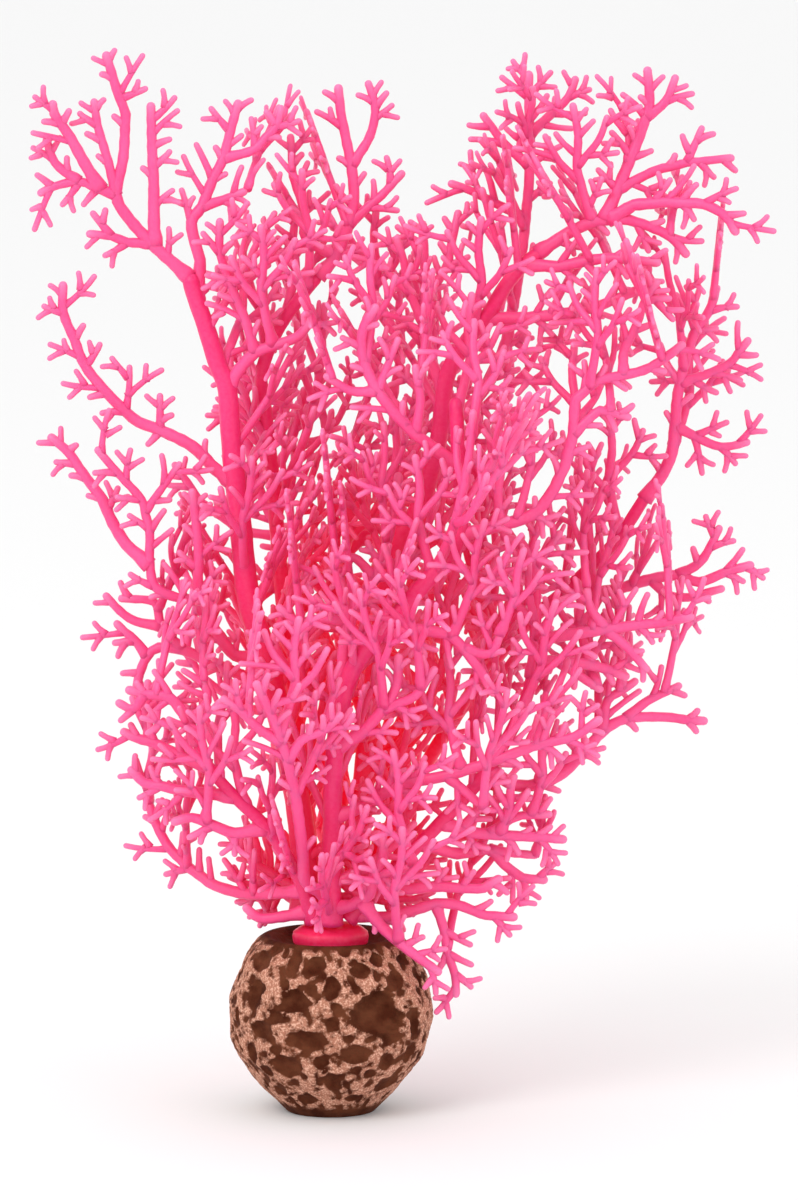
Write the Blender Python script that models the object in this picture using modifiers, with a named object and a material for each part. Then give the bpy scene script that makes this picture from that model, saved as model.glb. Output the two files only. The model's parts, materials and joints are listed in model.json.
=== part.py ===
"""Sea fan on a pitted stone ball.

A branching fan of soft pink plastic stands in the crater of a stone ball with a flat foot.
The origin is the middle of the foot, +Z is up and -Y is the front. Lengths in the lists below
are millimetres: routes are drawn as the fan looks from the front and a little above, as
(across, height) or (across, depth, height), and place() puts them in space.
"""

import math

import bmesh
import bpy
import numpy as np

MM = 0.001
TILT = math.radians(8)  # the sheet that the routes are drawn on leans back by this much
GAP = 0.35  # air between neighbouring pieces
SAFE = 0.25  # extra room round a twig, for the webs in its forks

# Ball: half widths and heights of its outline, from the foot up and over into the crater
BALL_OUTLINE = (
    (8.4, 0.0), (10.3, 1.9), (12.7, 4.4), (15.4, 7.4), (17.5, 10.6), (18.9, 14.4), (19.4, 18.4),
    (19.1, 22.4), (17.9, 26.4), (16.3, 29.6), (14.4, 32.4), (12.6, 33.9), (11.0, 33.3), (9.2, 31.7),
    (6.2, 30.9),
)
BALL_SIDES = 36
BALL_ROW = 2.2  # distance between the rows of corners on the ball
CRATER_FLOOR = 30.6
LUMP = 0.35  # how far the ball's lumps stand out
FOOT_EDGE = 2.5  # nothing is pushed in below this height, so that the foot stays flat

# Pits on the ball's front as they look: across, height, half width, half height
FRONT_PITS = (
    (0.3, 24, 1.6, 2.6), (-6.5, 21.3, 3.2, 2.4), (9, 19, 5.5, 4.5), (12.5, 25, 2.6, 1.8),
    (-13, 28.5, 2.6, 2), (-6.8, 28.5, 1.6, 3), (-14.5, 22.3, 2, 3.5), (-13, 15.8, 3.3, 1.9),
    (-4, 14, 4.6, 2), (5, 11.2, 3, 2.1), (10.6, 10, 2, 1.9), (16, 17, 1.8, 3.5), (-8, 9, 3.4, 2.4),
    (0.3, 6.2, 2, 2), (11, 5.6, 3.2, 1.7), (-15, 11.5, 1.8, 2), (6, 27, 2, 1.5), (-3, 28, 2.6, 1.8),
)
BACK_PITS = 26
PIT_DEPTH = 0.5  # for each millimetre of the pit's smaller half size

# Half widths of the branching work, and how thick it is for its width
LIMB_HALF = (1.15, 0.8)
SIDE_LIMB_HALF = (0.9, 0.7)
TWIG_HALF = (0.74, 0.58)
THICKNESS_SHARE = 0.85
NEAR = 1.6  # twigs this close to a joint leave from it
SHORTEST_TWIG = 2.4
CLOSEST_WAYS = 0.85  # cosine of the least angle between two bars that meet
STRAIGHT = 0.22  # outline points this close to the line of their neighbours are left out

TWIG_ANGLE = math.radians(50)
TWIG_SPACING = 10.5
TWIG_LENGTH = 5.0
LEANS = (0, 0.08, -0.08, 0.16, -0.16, 0.24, -0.24, 0.34, -0.34, 0.46, -0.46)

# Main stems: first and last radius, and the route from the root plug
STEMS = {
    "left_stem": (2.5, 1.5, (
        (-5, 0, 36.3), (-5, 1, 48), (-6.6, 1.5, 61), (-9.4, 2, 74), (-12.2, 2, 86),
        (-15.2, 2, 96), (-16.3, 2, 104), (-17.1, 1.5, 113), (-18.1, 1, 121), (-18.8, 0.5, 129),
        (-19.4, 0, 137), (-21, 0, 141), (-23.2, -0.5, 148), (-25.6, -1, 155), (-26.4, -1, 158.5))),
    "front_stem": (1.8, 1.3, (
        (0.1, -5, 35.6), (0.3, -7, 50), (0.9, -11, 68), (2.8, -13, 80), (6.6, -14, 87.5),
        (14.2, -15, 96), (20.8, -15, 103.6), (24, -15, 108.5), (24.6, -14, 116), (24, -13, 127),
        (23.6, -12, 135))),
    "right_stem": (2.1, 1.2, (
        (5, 0.4, 36.4), (5.5, 3, 52), (7, 4, 70), (9, 4, 88), (12, 3.5, 106), (16, 3, 113),
        (18.4, 2.5, 119), (20.6, 2, 128), (22, 1, 139), (26, 0, 146), (30, -1, 151), (33, -2, 156),
        (36.4, -2, 160), (40, -2, 162.6))),
    "back_stem": (1.5, 1.1, (
        (-3, 4, 36.9), (-5, 9, 60), (-8, 11, 85), (-10, 11, 108), (-11, 11, 120), (-12.5, 10, 134),
        (-13, 9, 140), (-10, 9, 148), (-5, 8, 155), (-2, 8, 158.5))),
    "low_right_stem": (1.3, 1.1, (
        (3.4, -3.7, 36.3), (11, -4.5, 45), (20, -5.5, 54), (29, -6, 64), (36, -7, 76), (38.5, -7, 86),
        (38.5, -7, 101))),
    "right_back_stem": (1.4, 1.1, (
        (3.1, 3.9, 37.2), (12, 10, 55), (24, 13, 75), (35, 13, 90), (46, 12, 100), (54, 10, 108),
        (60, 8, 117))),
    "left_low_stem": (1.3, 1.0, (
        (-3.2, -3.8, 36), (-6.2, -6.5, 45), (-12, -9, 54), (-18, -11, 60), (-23, -12, 66),
        (-25.5, -12, 72))),
    "rear_stem": (1.4, 1.1, (
        (0.1, 5, 37.3), (1, 14, 51), (2, 22, 67), (2, 27, 84), (1, 28, 102), (0, 26, 119))),
}

# Sprays: where the drawing starts, its limbs, and the tips of twigs that show clearly
SPRAYS = [
    dict(name="left_crown_outer", parent="left_stem", limbs=(
        ((-26.3, 157.5), (-33.5, 164), (-38, 169), (-40, 173), (-38.7, 180), (-38.2, 188),
         (-40, 193), (-42, 199.7)),
        ((-40, 173), (-41.5, 179), (-43.5, 186), (-44.2, 191)),
        ((-33.8, 164.3), (-38, 164.2), (-41, 165.3), (-45.8, 165.8)),
        ((-40, 172.5), (-43.5, 174.2), (-47, 175.5), (-52, 174.5), (-54.8, 173)),
        ((-48.5, 175.5), (-51.5, 179), (-53.3, 184))),
        tips=((-34.7, 184), (-34, 193), (-43.2, 195.5), (-39.3, 196.5), (-46.7, 184.3),
              (-47.2, 188.5), (-40.8, 188), (-44.8, 170), (-42, 170.7), (-42.7, 161.5),
              (-46.5, 170.8), (-50.5, 170.8), (-55.3, 177))),
    dict(name="left_crown_middle", parent="left_crown_outer", limbs=(
        ((-32.9, 163.5), (-33, 168), (-33, 175), (-33.3, 182), (-33.5, 190.3)),),
        tips=((-37.5, 174.5), (-35.5, 178.3), (-29.5, 178), (-29.5, 183.5), (-28.7, 191.5))),
    dict(name="left_crown_high", parent="left_crown_outer", lean=-0.15, limbs=(
        ((-43, 174), (-46, 179), (-48.5, 183.5), (-51.5, 188), (-51.8, 190.5)),),
        tips=((-54, 186.5), (-48.5, 189))),
    dict(name="left_crown_right", parent="left_stem", lean=0.1, limbs=(
        ((-25, 152.5), (-23.4, 157.5), (-25, 163), (-26, 168), (-24, 171), (-22, 176), (-20, 180), (-18.7, 185),
         (-17, 191)),
        ((-24, 171), (-20, 172.2), (-15.5, 174)),
        ((-20, 180), (-14.5, 181.5), (-12, 184), (-10, 186), (-9, 190))),
        tips=((-28, 174.5), (-16.5, 169.5), (-25.3, 183), (-5.3, 187.2), (-22.6, 189.7),
              (-12.3, 189))),
    dict(name="left_fork_spray", parent="left_stem", lean=-0.2, limbs=(
        ((-19.4, 137), (-17, 140.5), (-14, 143.5), (-10, 145), (-6, 146.5), (-3, 150)),
        ((-14, 143.5), (-16, 150), (-18.5, 156), (-20.5, 162), (-20.5, 168.5))),
        tips=((-23.5, 158), (-24, 166), (-16, 160))),
    dict(name="left_spray_upper", parent="left_stem", lean=-0.1, limbs=(
        ((-18.3, 119), (-22, 122), (-26, 126), (-32, 129), (-36, 130.5), (-38.5, 132.5),
         (-42, 136), (-46, 141), (-48, 146), (-50, 151), (-50, 156.8)),),
        tips=((-37.7, 141.3), (-46, 149), (-45.7, 135), (-34.7, 126), (-32, 136), (-29.3, 132),
              (-43, 145.5))),
    dict(name="left_fan_tall", parent="left_stem", lean=-0.15, limbs=(
        ((-12.4, 86), (-18, 86.5), (-21, 90), (-24.3, 95), (-25, 100), (-24.8, 106), (-25.3, 112),
         (-26, 118)),
        ((-24.6, 97), (-29, 97.5), (-33, 99.5), (-34, 104), (-34, 110), (-35.5, 116), (-40, 121),
         (-44, 125.7))),
        tips=((-28, 123), (-24.3, 117.2), (-40.5, 116.5))),
    dict(name="left_spike", parent="left_fan_tall", lean=0.2, limbs=(
        ((-34, 103.5), (-38.5, 107.5), (-41, 111.5), (-43, 116), (-46, 120), (-49.5, 125),
         (-53.3, 128.2)),),
        tips=((-49.5, 120.5), (-47.5, 126.5))),
    dict(name="left_fan_low", parent="left_stem", lean=0.1, limbs=(
        ((-10.8, 79.5), (-16, 82.3), (-22, 85), (-28, 87.5), (-32.5, 88), (-34.8, 86.3), (-36.2, 83),
         (-37, 79.5)),
        ((-28.5, 87.7), (-32, 92), (-33.3, 96.5), (-38, 97.2), (-40.3, 97.3)),
        ((-32, 92), (-37, 93), (-40, 95), (-43, 98.3)),
        ((-34.8, 86.3), (-37, 89.3), (-39, 91), (-41, 93))),
        tips=((-40, 100.8), (-43, 94.3), (-41.5, 88.8), (-40.5, 85.8), (-40, 83))),
    dict(name="left_cup_upper", parent="left_low_stem", lean=0.1, limbs=(
        ((-25, 69.5), (-26.5, 74), (-30, 78.5), (-35, 79.3), (-38.5, 80.3)),
        ((-34, 79), (-37, 76.5), (-40.3, 78)),
        ((-26.5, 74), (-23, 78), (-24, 83))),
        tips=((-33.3, 84), (-28, 84), (-39.8, 74))),
    dict(name="left_cup_middle", parent="left_low_stem", lean=0.2, limbs=(
        ((-22.5, 65.5), (-28, 67.5), (-33, 70), (-36.5, 71), (-39.5, 72.5)),),
        tips=((-38.3, 67), (-34, 75), (-30, 64), (-29, 72))),
    dict(name="left_cup_low", parent="left_low_stem", lean=0.15, limbs=(
        ((-18, 60), (-22.5, 60.5), (-27.5, 61), (-32, 62), (-35, 62.5), (-38, 65.5)),),
        tips=((-30.5, 57), (-25, 57), (-36.5, 59.5))),
    dict(name="left_cup_edge", parent="left_low_stem", lean=0.5, limbs=(
        ((-5, 42), (-10, 41.5), (-16, 41.2), (-22, 42.7), (-27, 46), (-31, 50), (-33.7, 55),
         (-35.3, 60)),),
        tips=((-36, 55.8), (-25, 50), (-28.2, 53), (-20.5, 48))),
    dict(name="left_low_spray", parent="left_low_stem", lean=-0.1, limbs=(
        ((-12, 54), (-18, 53), (-22, 54.5), (-26, 56), (-30, 55)),),
        tips=((-27, 52), (-24.5, 50.8), (-18, 48.5))),
    dict(name="rim_sprig", parent="left_low_stem", lean=0.2, limbs=(
        ((-4.2, 38), (-9, 37), (-13.5, 36.7), (-16.5, 39.2)),),
        tips=((-15.9, 31.5), (-11, 40.5))),
    dict(name="front_left_fan", parent="front_stem", lean=-0.3, limbs=(
        ((0.3, 40), (-4.7, 44), (-5.2, 50), (-6.3, 60), (-7.8, 67), (-10, 74), (-13.6, 82)),
        ((-7.8, 67), (-5, 71), (-1, 72.7), (2.5, 76)),
        ((-9, 70.5), (-13, 73), (-16.5, 76.5), (-20, 79))),
        tips=((-17.3, 82.5), (-9, 80.5), (-4, 79), (-7, 76.5), (-11, 83.5))),
    dict(name="front_low_sprig", parent="front_stem", lean=-0.55, limbs=(
        ((0.4, 38.5), (4, 39.3), (7.5, 41.5), (8.2, 45), (10, 48.5), (9.8, 53.3)),
        ((8.2, 45), (12.5, 46), (17.5, 47.3))),
        tips=((15, 50.5), (4, 46), (3.4, 30.5), (13, 42))),
    dict(name="front_cross_branch", parent="front_stem", lean=-0.2, limbs=(
        ((0.5, 56), (5, 57.5), (9, 60), (14, 62.5), (22, 64), (30, 66.5), (38, 69.5), (46, 71.5),
         (51, 75)),
        ((22, 64), (26, 60.5), (30, 57)),
        ((30, 66.5), (34, 72), (36, 78))),
        tips=((42, 75.5), (44, 67), (12, 67), (16, 57))),
    dict(name="front_vertical_branch", parent="front_stem", lean=0.1, limbs=(
        ((2.5, 78.5), (2.5, 87), (3.5, 93), (6, 97.5), (8.5, 101), (10.5, 107), (12, 113),
         (13, 121)),
        ((3.2, 92), (-2, 93.5), (-6, 93), (-10, 96)),
        ((8.5, 101), (4.5, 105), (0.5, 104)),
        ((9.5, 104), (14, 104), (17, 107))),
        tips=((-3, 98), (-1.5, 89))),
    dict(name="front_middle_spray", parent="front_stem", lean=-0.35, limbs=(
        ((1, 69), (6, 72), (10, 76.5), (12.5, 81), (13, 87)),
        ((10, 76.5), (16, 79), (20, 84.5))),
        tips=((4, 79), (8.5, 81), (13, 72), (17, 74.5))),
    dict(name="front_arm", parent="front_stem", lean=-0.15, limbs=(
        ((10, 90.5), (16, 91.5), (22, 90.5), (25, 88), (28, 84), (31, 79)),
        ((25.5, 87.5), (30, 87), (32.5, 92))),
        tips=((28, 88.5), (33, 87.5), (18, 86), (23, 84))),
    dict(name="arched_spray", parent="front_stem", lean=-0.15, limbs=(
        ((24.2, 122), (20, 125), (16, 128), (12, 132), (9, 136), (7, 140), (6, 144), (6.5, 148),
         (9, 152)),
        ((9, 136), (4, 136), (-1, 139)),
        ((16, 128), (17, 134), (16, 141))),
        tips=((2, 146), (13, 146))),
    dict(name="low_right_arm", parent="low_right_stem", lean=-0.1, limbs=(
        ((4.5, 37.5), (10, 36.8), (15, 38), (20, 39.5), (24, 39.3), (29.5, 37.3), (35.5, 37)),
        ((20, 39.5), (21.5, 34.5), (22.2, 30), (23.6, 26), (23.8, 21.6))),
        tips=((34.3, 33.2), (30.8, 40.3), (27, 31.5), (27.2, 27.7), (27, 23.3), (20.4, 26.7))),
    dict(name="droop_over_ball", parent="front_low_sprig", lean=-0.1, limbs=(
        ((6, 40.2), (9.5, 35.5), (14, 31.5), (18, 28.5), (21, 26.3)),),
        tips=((12, 29.5), (18, 33.5))),
    dict(name="low_right_mid", parent="low_right_stem", lean=-0.15, limbs=(
        ((9, 43), (15, 42.3), (20, 42.8), (25, 42.5), (29, 42.5), (32.5, 44.7)),),
        tips=((22.3, 46.5), (27.5, 46), (33.8, 41.3), (16, 46.5))),
    dict(name="low_right_far", parent="low_right_stem", lean=0.2, limbs=(
        ((17, 51), (24, 49), (30, 49.7), (33, 46.8), (36.5, 44.3), (41.3, 43.8)),
        ((30.5, 49.5), (35, 49), (39.5, 48.5))),
        tips=((37.2, 39.7), (43.2, 47.4), (24, 53.5))),
    dict(name="low_right_side", parent="low_right_stem", lean=-0.05, limbs=(
        ((21, 55), (27, 53), (33, 52.5), (39, 52.2), (44.8, 51.7)),
        ((30, 52.8), (35, 56), (42, 56.6)),
        ((25, 53.7), (30, 59), (38.5, 59.6))),
        tips=((42, 54.5), (28, 57))),
    dict(name="right_low_edge", parent="low_right_stem", lean=0.1, limbs=(
        ((30, 65), (35, 62), (40, 62.3), (44, 64.3), (48, 68), (51.5, 72), (56, 74.5), (63.3, 74.8),
         (68, 74.2), (71.7, 74)),
        ((52.3, 72.5), (52.5, 78), (55.5, 80), (58.3, 82)),
        ((56, 74.5), (60, 77.8), (66.7, 81))),
        tips=((69.8, 71.6), (48.7, 78.2), (46, 71.5))),
    dict(name="right_shelf", parent="low_right_stem", limbs=(
        ((38.5, 89.5), (45, 90.5), (52, 91.5), (58, 92.3), (63, 92.8), (68.6, 94)),
        ((52, 91.5), (56, 88), (60, 83.5)),
        ((51.5, 91.4), (49, 95.5), (48.3, 99.5))),
        tips=((61, 88.6), (60, 98.5))),
    dict(name="right_shelf_low", parent="low_right_stem", lean=0.15, limbs=(
        ((38.5, 85), (43, 85.5), (47.5, 85), (52, 84), (56.5, 82.3)),
        ((44.5, 85.3), (48.5, 81.7), (51.5, 79.8))),
        tips=((46, 80),)),
    dict(name="studded_top", parent="low_right_stem", lean=-0.1, limbs=(
        ((38.5, 100), (38.5, 103.5), (36, 107.5), (32, 109)),
        ((38.5, 103.5), (41, 106.5), (43.5, 110))),
        tips=((34.5, 103), (42.8, 102.5))),
    dict(name="right_mid_spray", parent="right_back_stem", lean=-0.15, limbs=(
        ((46, 100), (51, 98.5), (56, 99.5), (61, 101), (66, 101.7), (70, 100.4), (75, 102.3),
         (80.4, 103.8)),
        ((66, 101.7), (70, 104), (72, 107), (74, 111.2)),
        ((61.5, 101), (64, 98), (68, 97.5), (74.9, 99.3))),
        tips=((68.7, 107.3), (77, 108.3), (78.5, 107), (78.8, 100.3), (72.3, 96.4))),
    dict(name="right_edge_spray", parent="right_back_stem", lean=-0.1, limbs=(
        ((59.5, 116), (63, 121), (64.7, 125), (65.2, 130), (65.7, 136), (67, 142), (69, 148),
         (71.5, 151.5), (73, 156.5)),
        ((67, 137.8), (72, 140), (75.5, 141.7), (79.3, 146.5)),
        ((65.2, 129.7), (69, 128), (74, 126), (79.5, 127))),
        tips=((81, 143.3), (78, 138.3), (77.3, 152.3), (65, 155), (75.5, 130.8), (73.5, 136),
              (77, 122.4), (70.5, 120.5), (60.5, 124))),
    dict(name="front_right_branch", parent="front_stem", lean=0.05, limbs=(
        ((24, 109), (32, 111), (38, 113), (41.5, 117), (44, 122), (45.5, 128), (46, 134.5),
         (50, 138), (55, 139), (60, 140.5), (66.5, 145)),
        ((45.6, 129.5), (50.5, 132.5), (56.5, 131)),
        ((54, 138.8), (55, 143.5), (57, 147.5), (59, 153), (61.5, 156.8)),
        ((32, 111), (31.5, 117), (32.5, 124), (33.5, 130))),
        tips=((64, 153.3), (64.5, 149), (53.7, 128.3), (49, 126), (47.5, 142))),
    dict(name="right_leaf", parent="right_stem", lean=-0.1, limbs=(
        ((29, 150), (37, 150), (44, 150.8), (50, 152), (55, 154), (62, 156.8)),),
        tips=((50, 156.8), (42, 146.5), (47, 147))),
    dict(name="right_crown", parent="right_stem", lean=-0.05, limbs=(
        ((38.8, 162), (45, 166), (50, 168), (56, 168.3), (60, 167), (64, 165), (67.3, 161.3)),),
        tips=((70.3, 164.3), (48, 163), (60, 162))),
    dict(name="right_crown_top", parent="right_crown", lean=-0.2, limbs=(
        ((52, 168.2), (57, 171), (63, 171.5), (70, 171), (74, 168.8), (76.3, 165.2)),),
        tips=((76.5, 174), (78, 169.3), (69, 175), (64, 176))),
    dict(name="right_crown_low", parent="right_stem", lean=-0.3, limbs=(
        ((36.4, 160), (43, 159.5), (48, 160.5), (53, 161), (57, 160.5), (62, 160)),),
        tips=((56, 157), (51, 156.8), (47, 165))),
    dict(name="tall_branch", parent="right_stem", lean=0.15, limbs=(
        ((20.8, 129), (26, 133), (30.5, 139), (33.3, 146), (35, 155), (36.5, 165), (37.5, 175),
         (37.8, 183), (37.5, 190), (37.5, 197)),
        ((36.9, 169), (31, 172), (26, 174.5), (22.2, 175.8)),
        ((37.7, 185), (42, 189), (45, 192), (46.5, 196)),
        ((37.6, 179), (33, 183), (28.5, 189))),
        tips=((32, 196), (42, 197), (48.7, 189), (26, 184), (29, 179), (44, 183), (42, 176))),
    dict(name="upper_right_fan", parent="right_crown", lean=0.1, limbs=(
        ((51.5, 168.2), (54, 174), (56.5, 180), (58.5, 185), (60, 190), (59.5, 197)),
        ((54.5, 175.2), (61, 177.5), (67, 179), (76, 180)),
        ((59.3, 187.5), (63, 190.5), (65, 195.5))),
        tips=((68.5, 192), (70, 186), (54.5, 192), (72.5, 184.5), (66, 184.5), (72.5, 176),
              (50, 178), (52.5, 185))),
    dict(name="centre_top_fan", parent="back_stem", lean=0.05, limbs=(
        ((-2.3, 158), (1, 162), (3.5, 168), (4.5, 173), (4, 179), (3, 184), (2, 189), (1.5, 194.3)),
        ((3.8, 169.5), (9.8, 173.5), (14, 178)),
        ((4, 179), (7.5, 184.5), (8.5, 190), (7, 195)),
        ((0, 160.8), (-4.5, 165), (-5, 171), (-7, 177), (-7.5, 185))),
        tips=((-3, 189.3), (-1.5, 193), (11, 193), (10.5, 181), (13.2, 170.5), (8, 163))),
    dict(name="middle_fan", parent="right_stem", lean=0.2, limbs=(
        ((21.8, 136), (18.5, 143), (17.5, 150), (18, 157), (17.4, 168.7)),
        ((17.7, 153), (22, 160), (24.3, 170.7))),
        tips=((12.3, 167.8), (14, 160), (21.3, 169.5), (26.5, 162), (12, 151))),
]

# A fan drawn once, from its base, for the inside, sides and back of the bush
PLAIN_FAN = (
    ((0, 0), (5, 5), (10, 12), (14, 21), (16, 31), (16, 42)),
    ((9.5, 11), (17, 13), (24, 18), (29, 25)),
    ((14, 21), (8, 28), (5, 38)),
)

# Its copies: name, parent, base, turn from facing the front, lean, and size
PLAIN_FANS = (
    ("rear_fan_left", "rear_stem", (1.8, 62), 150, 0.2, 1.1),
    ("rear_fan_right", "rear_stem", (1.6, 58), 30, -0.1, 1.1),
    ("rear_fan_high_left", "rear_stem", (1.4, 96), 165, 0.1, 1.1),
    ("rear_fan_high_right", "rear_stem", (1, 104), 15, 0.0, 1.2),
    ("back_fan_right", "back_stem", (-10.6, 116), 60, 0.1, 0.9),
    ("front_upper_fan", "front_stem", (20, 103), -70, 0.1, 0.7),
    ("right_back_fan", "right_back_stem", (24, 75), 50, 0.1, 1.0),
    ("inner_fan_low", "right_stem", (6.2, 62), 20, 0.3, 1.0),
)


def place(across, depth, height):
    """Points drawn at (across, height) at this depth, in millimetres."""
    rise = (height - depth * math.sin(TILT)) / math.cos(TILT)
    return np.stack(np.broadcast_arrays(across, depth, rise), axis=-1).astype(float)


def material(name, color, roughness):
    made = bpy.data.materials.new(name)
    made.use_nodes = True
    shader = made.node_tree.nodes["Principled BSDF"]
    shader.inputs["Base Color"].default_value = (*color, 1)
    shader.inputs["Roughness"].default_value = roughness
    return made


def add_object(name, mesh, finish):
    made = bpy.data.objects.new(name, mesh)
    mesh.materials.clear()
    mesh.materials.append(finish)
    PIECES.objects.link(made)
    return made


def baked(holder, weld=1e-6):
    """The mesh that an object shows, with its loose caps joined on and its faces pointing out."""
    bpy.context.view_layer.update()
    graph = bpy.context.evaluated_depsgraph_get()
    mesh = bpy.data.meshes.new_from_object(holder.evaluated_get(graph))
    mesh.transform(holder.matrix_world)
    data = holder.data
    bpy.data.objects.remove(holder)
    if isinstance(data, bpy.types.Curve):
        bpy.data.curves.remove(data)
    else:
        bpy.data.meshes.remove(data)
    shell = bmesh.new()
    shell.from_mesh(mesh)
    bmesh.ops.remove_doubles(shell, verts=shell.verts, dist=weld)
    bmesh.ops.recalc_face_normals(shell, faces=shell.faces)
    shell.to_mesh(mesh)
    shell.free()
    return mesh


def vertices_of(mesh):
    flat = np.empty(len(mesh.vertices) * 3, np.float32)
    mesh.vertices.foreach_get("co", flat)
    return flat.reshape(-1, 3).astype(float)


def move_vertices(mesh, points):
    mesh.vertices.foreach_set("co", points.astype(np.float32).ravel())
    mesh.update()


def nearest(points, starts, ends):
    """How far each point is from each segment, and the share of the segment where it is closest."""
    along = ends - starts
    reach = ((points[:, None] - starts) * along).sum(-1)
    share = np.clip(reach / np.maximum((along**2).sum(-1), 1e-9), 0, 1)
    off = points[:, None] - starts - share[..., None] * along
    return np.linalg.norm(off, axis=-1), share


class Thicket:
    """Every bar placed so far, as a segment with a half width, so that pieces keep clear."""

    def __init__(self):
        self.starts = np.empty((0, 3))
        self.ends = np.empty((0, 3))
        self.halves = np.empty(0)
        self.owners = np.empty(0, int)

    def add(self, starts, ends, halves, owner):
        self.starts = np.vstack([self.starts, starts])
        self.ends = np.vstack([self.ends, ends])
        self.halves = np.append(self.halves, halves)
        self.owners = np.append(self.owners, np.full(len(starts), owner))

    def room(self, points, half, skip):
        """The least air between these points, thickened by half, and bars of owners not skipped."""
        kept = ~np.isin(self.owners, skip)
        if not kept.any() or not len(points):
            return 99.0
        far, _ = nearest(points, self.starts[kept], self.ends[kept])
        return float((far - self.halves[kept]).min() - half)


class Branches:
    """A flat branching drawing: each node has a parent, and half widths for the bar that joins them."""

    def __init__(self, root, half):
        self.at = [np.array(root, float)]
        self.parent = [-1]
        self.start = [half]
        self.end = [half]
        self.limb = [0]

    def add(self, at, parent, start, end, limb):
        self.at.append(np.array(at, float))
        self.parent.append(parent)
        self.start.append(start)
        self.end.append(end)
        self.limb.append(limb)
        return len(self.at) - 1

    def bars(self):
        """The starts, ends, half widths and limbs of all bars, and the node that each leads to."""
        nodes = np.array([n for n, parent in enumerate(self.parent) if parent >= 0], int)
        at = np.array(self.at)
        halves = np.maximum(self.start, self.end)[nodes]
        return at[np.array(self.parent)[nodes]], at[nodes], halves, np.array(self.limb)[nodes], nodes

    def is_tip(self, node):
        return node not in self.parent

    def joint(self, node, share):
        """Where a share of the bar that leads to this node lies, and the node there if one is near."""
        parent = self.parent[node]
        length = np.linalg.norm(self.at[node] - self.at[parent])
        if share * length < NEAR and parent > 0:
            return self.at[parent], parent
        if (1 - share) * length < NEAR and not self.is_tip(node):
            return self.at[node], node
        return self.at[parent] + share * (self.at[node] - self.at[parent]), None

    def split(self, node, share):
        """The node at a share of the bar that leads to this node, new if none is near."""
        at, found = self.joint(node, share)
        if found is not None:
            return found
        half = self.start[node] + share * (self.end[node] - self.start[node])
        middle = self.add(at, self.parent[node], self.start[node], half, self.limb[node])
        self.parent[node] = middle
        self.start[node] = half
        return middle

    def ways_from(self, node, share):
        """The directions of the bars that meet at this joint."""
        at, found = self.joint(node, share)
        if found is None:
            ends = [self.at[node], self.at[self.parent[node]]]
        else:
            ends = [self.at[n] for n, parent in enumerate(self.parent) if parent == found]
            ends.append(self.at[self.parent[found]])
        ways = np.array(ends) - at
        return ways / np.linalg.norm(ways, axis=1)[:, None]

    def add_limb(self, route, halves, parent, limb):
        """Bars along a route, tapering from the first half width to the last."""
        widths = np.linspace(halves[0], halves[1], len(route) + 1)
        for at, start, end in zip(route, widths, widths[1:]):
            parent = self.add(at, parent, start, end, limb)
        return parent

    def path(self, tip):
        """The nodes of a limb, from where it leaves its parent to its tip."""
        nodes = [tip]
        while self.parent[nodes[-1]] >= 0 and self.limb[nodes[-1]] == self.limb[tip]:
            nodes.append(self.parent[nodes[-1]])
        return nodes[::-1]


def steps_along(start, end, first, spacing=0.9):
    """Points on a line from a first distance to its end."""
    length = np.linalg.norm(end - start)
    count = max(int((length - first) / spacing) + 1, 2)
    shares = np.linspace(min(first / length, 1), 1, count)
    return start + shares[:, None] * (end - start)


def on_sheet(spray, flat, off=0.0):
    """Points drawn flat on a spray, once its sheet is turned and bent, in millimetres in space."""
    across, depth, height = spray["base"]
    turn = math.radians(spray.get("turn", 0))
    run = flat[:, 0] - across
    rise = flat[:, 1] - height
    away = np.hypot(run, rise)
    bend = spray["lean"] * away + off
    return place(
        across + run * math.cos(turn) - bend * math.sin(turn),
        depth + run * math.sin(turn) + bend * math.cos(turn),
        height + rise,
    )


def base_on_parent(spray, thicket):
    """The point of the parent's bars that lies behind the first point of the spray's drawing."""
    owned = thicket.owners == spray["parent_number"]
    starts = thicket.starts[owned]
    ends = thicket.ends[owned]
    tip_up = np.array([[1, 0], [0, math.sin(TILT)], [0, math.cos(TILT)]])
    first = np.array(spray["limbs"][0][0], float)
    far, share = nearest(first[None], starts @ tip_up, ends @ tip_up)
    closest = far[0].argmin()
    point = starts[closest] + share[0, closest] * (ends[closest] - starts[closest])
    return first[0], point[1], first[1]


def trimmed(spray, route, half, thicket):
    """The route from where its cut end clears the parent by the gap."""
    owned = thicket.owners == spray["parent_number"]
    starts, ends, halves = thicket.starts[owned], thicket.ends[owned], thicket.halves[owned]
    lengths = np.linalg.norm(np.diff(route, axis=0), axis=1)
    for run in np.arange(0, 12, 0.1):
        piece = int(np.searchsorted(np.cumsum(lengths), run))
        before = lengths[:piece].sum()
        along = (route[piece + 1] - route[piece]) / lengths[piece]
        at = route[piece] + (run - before) * along
        point, ahead = on_sheet(spray, np.array([at, at + 0.1 * along]))
        far, share = nearest(point[None], starts, ends)
        closest = (far[0] - halves).argmin()
        foot = starts[closest] + share[0, closest] * (ends[closest] - starts[closest])
        out = (point - foot) / max(far[0, closest], 1e-6)
        slope = float(np.dot(out, (ahead - point) / np.linalg.norm(ahead - point)))
        reach = halves[closest] + GAP + half * 1.3 * math.sqrt(max(1 - slope**2, 0))
        if far[0, closest] >= reach:
            return np.vstack([at, route[piece + 1 :]])
    return route


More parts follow.
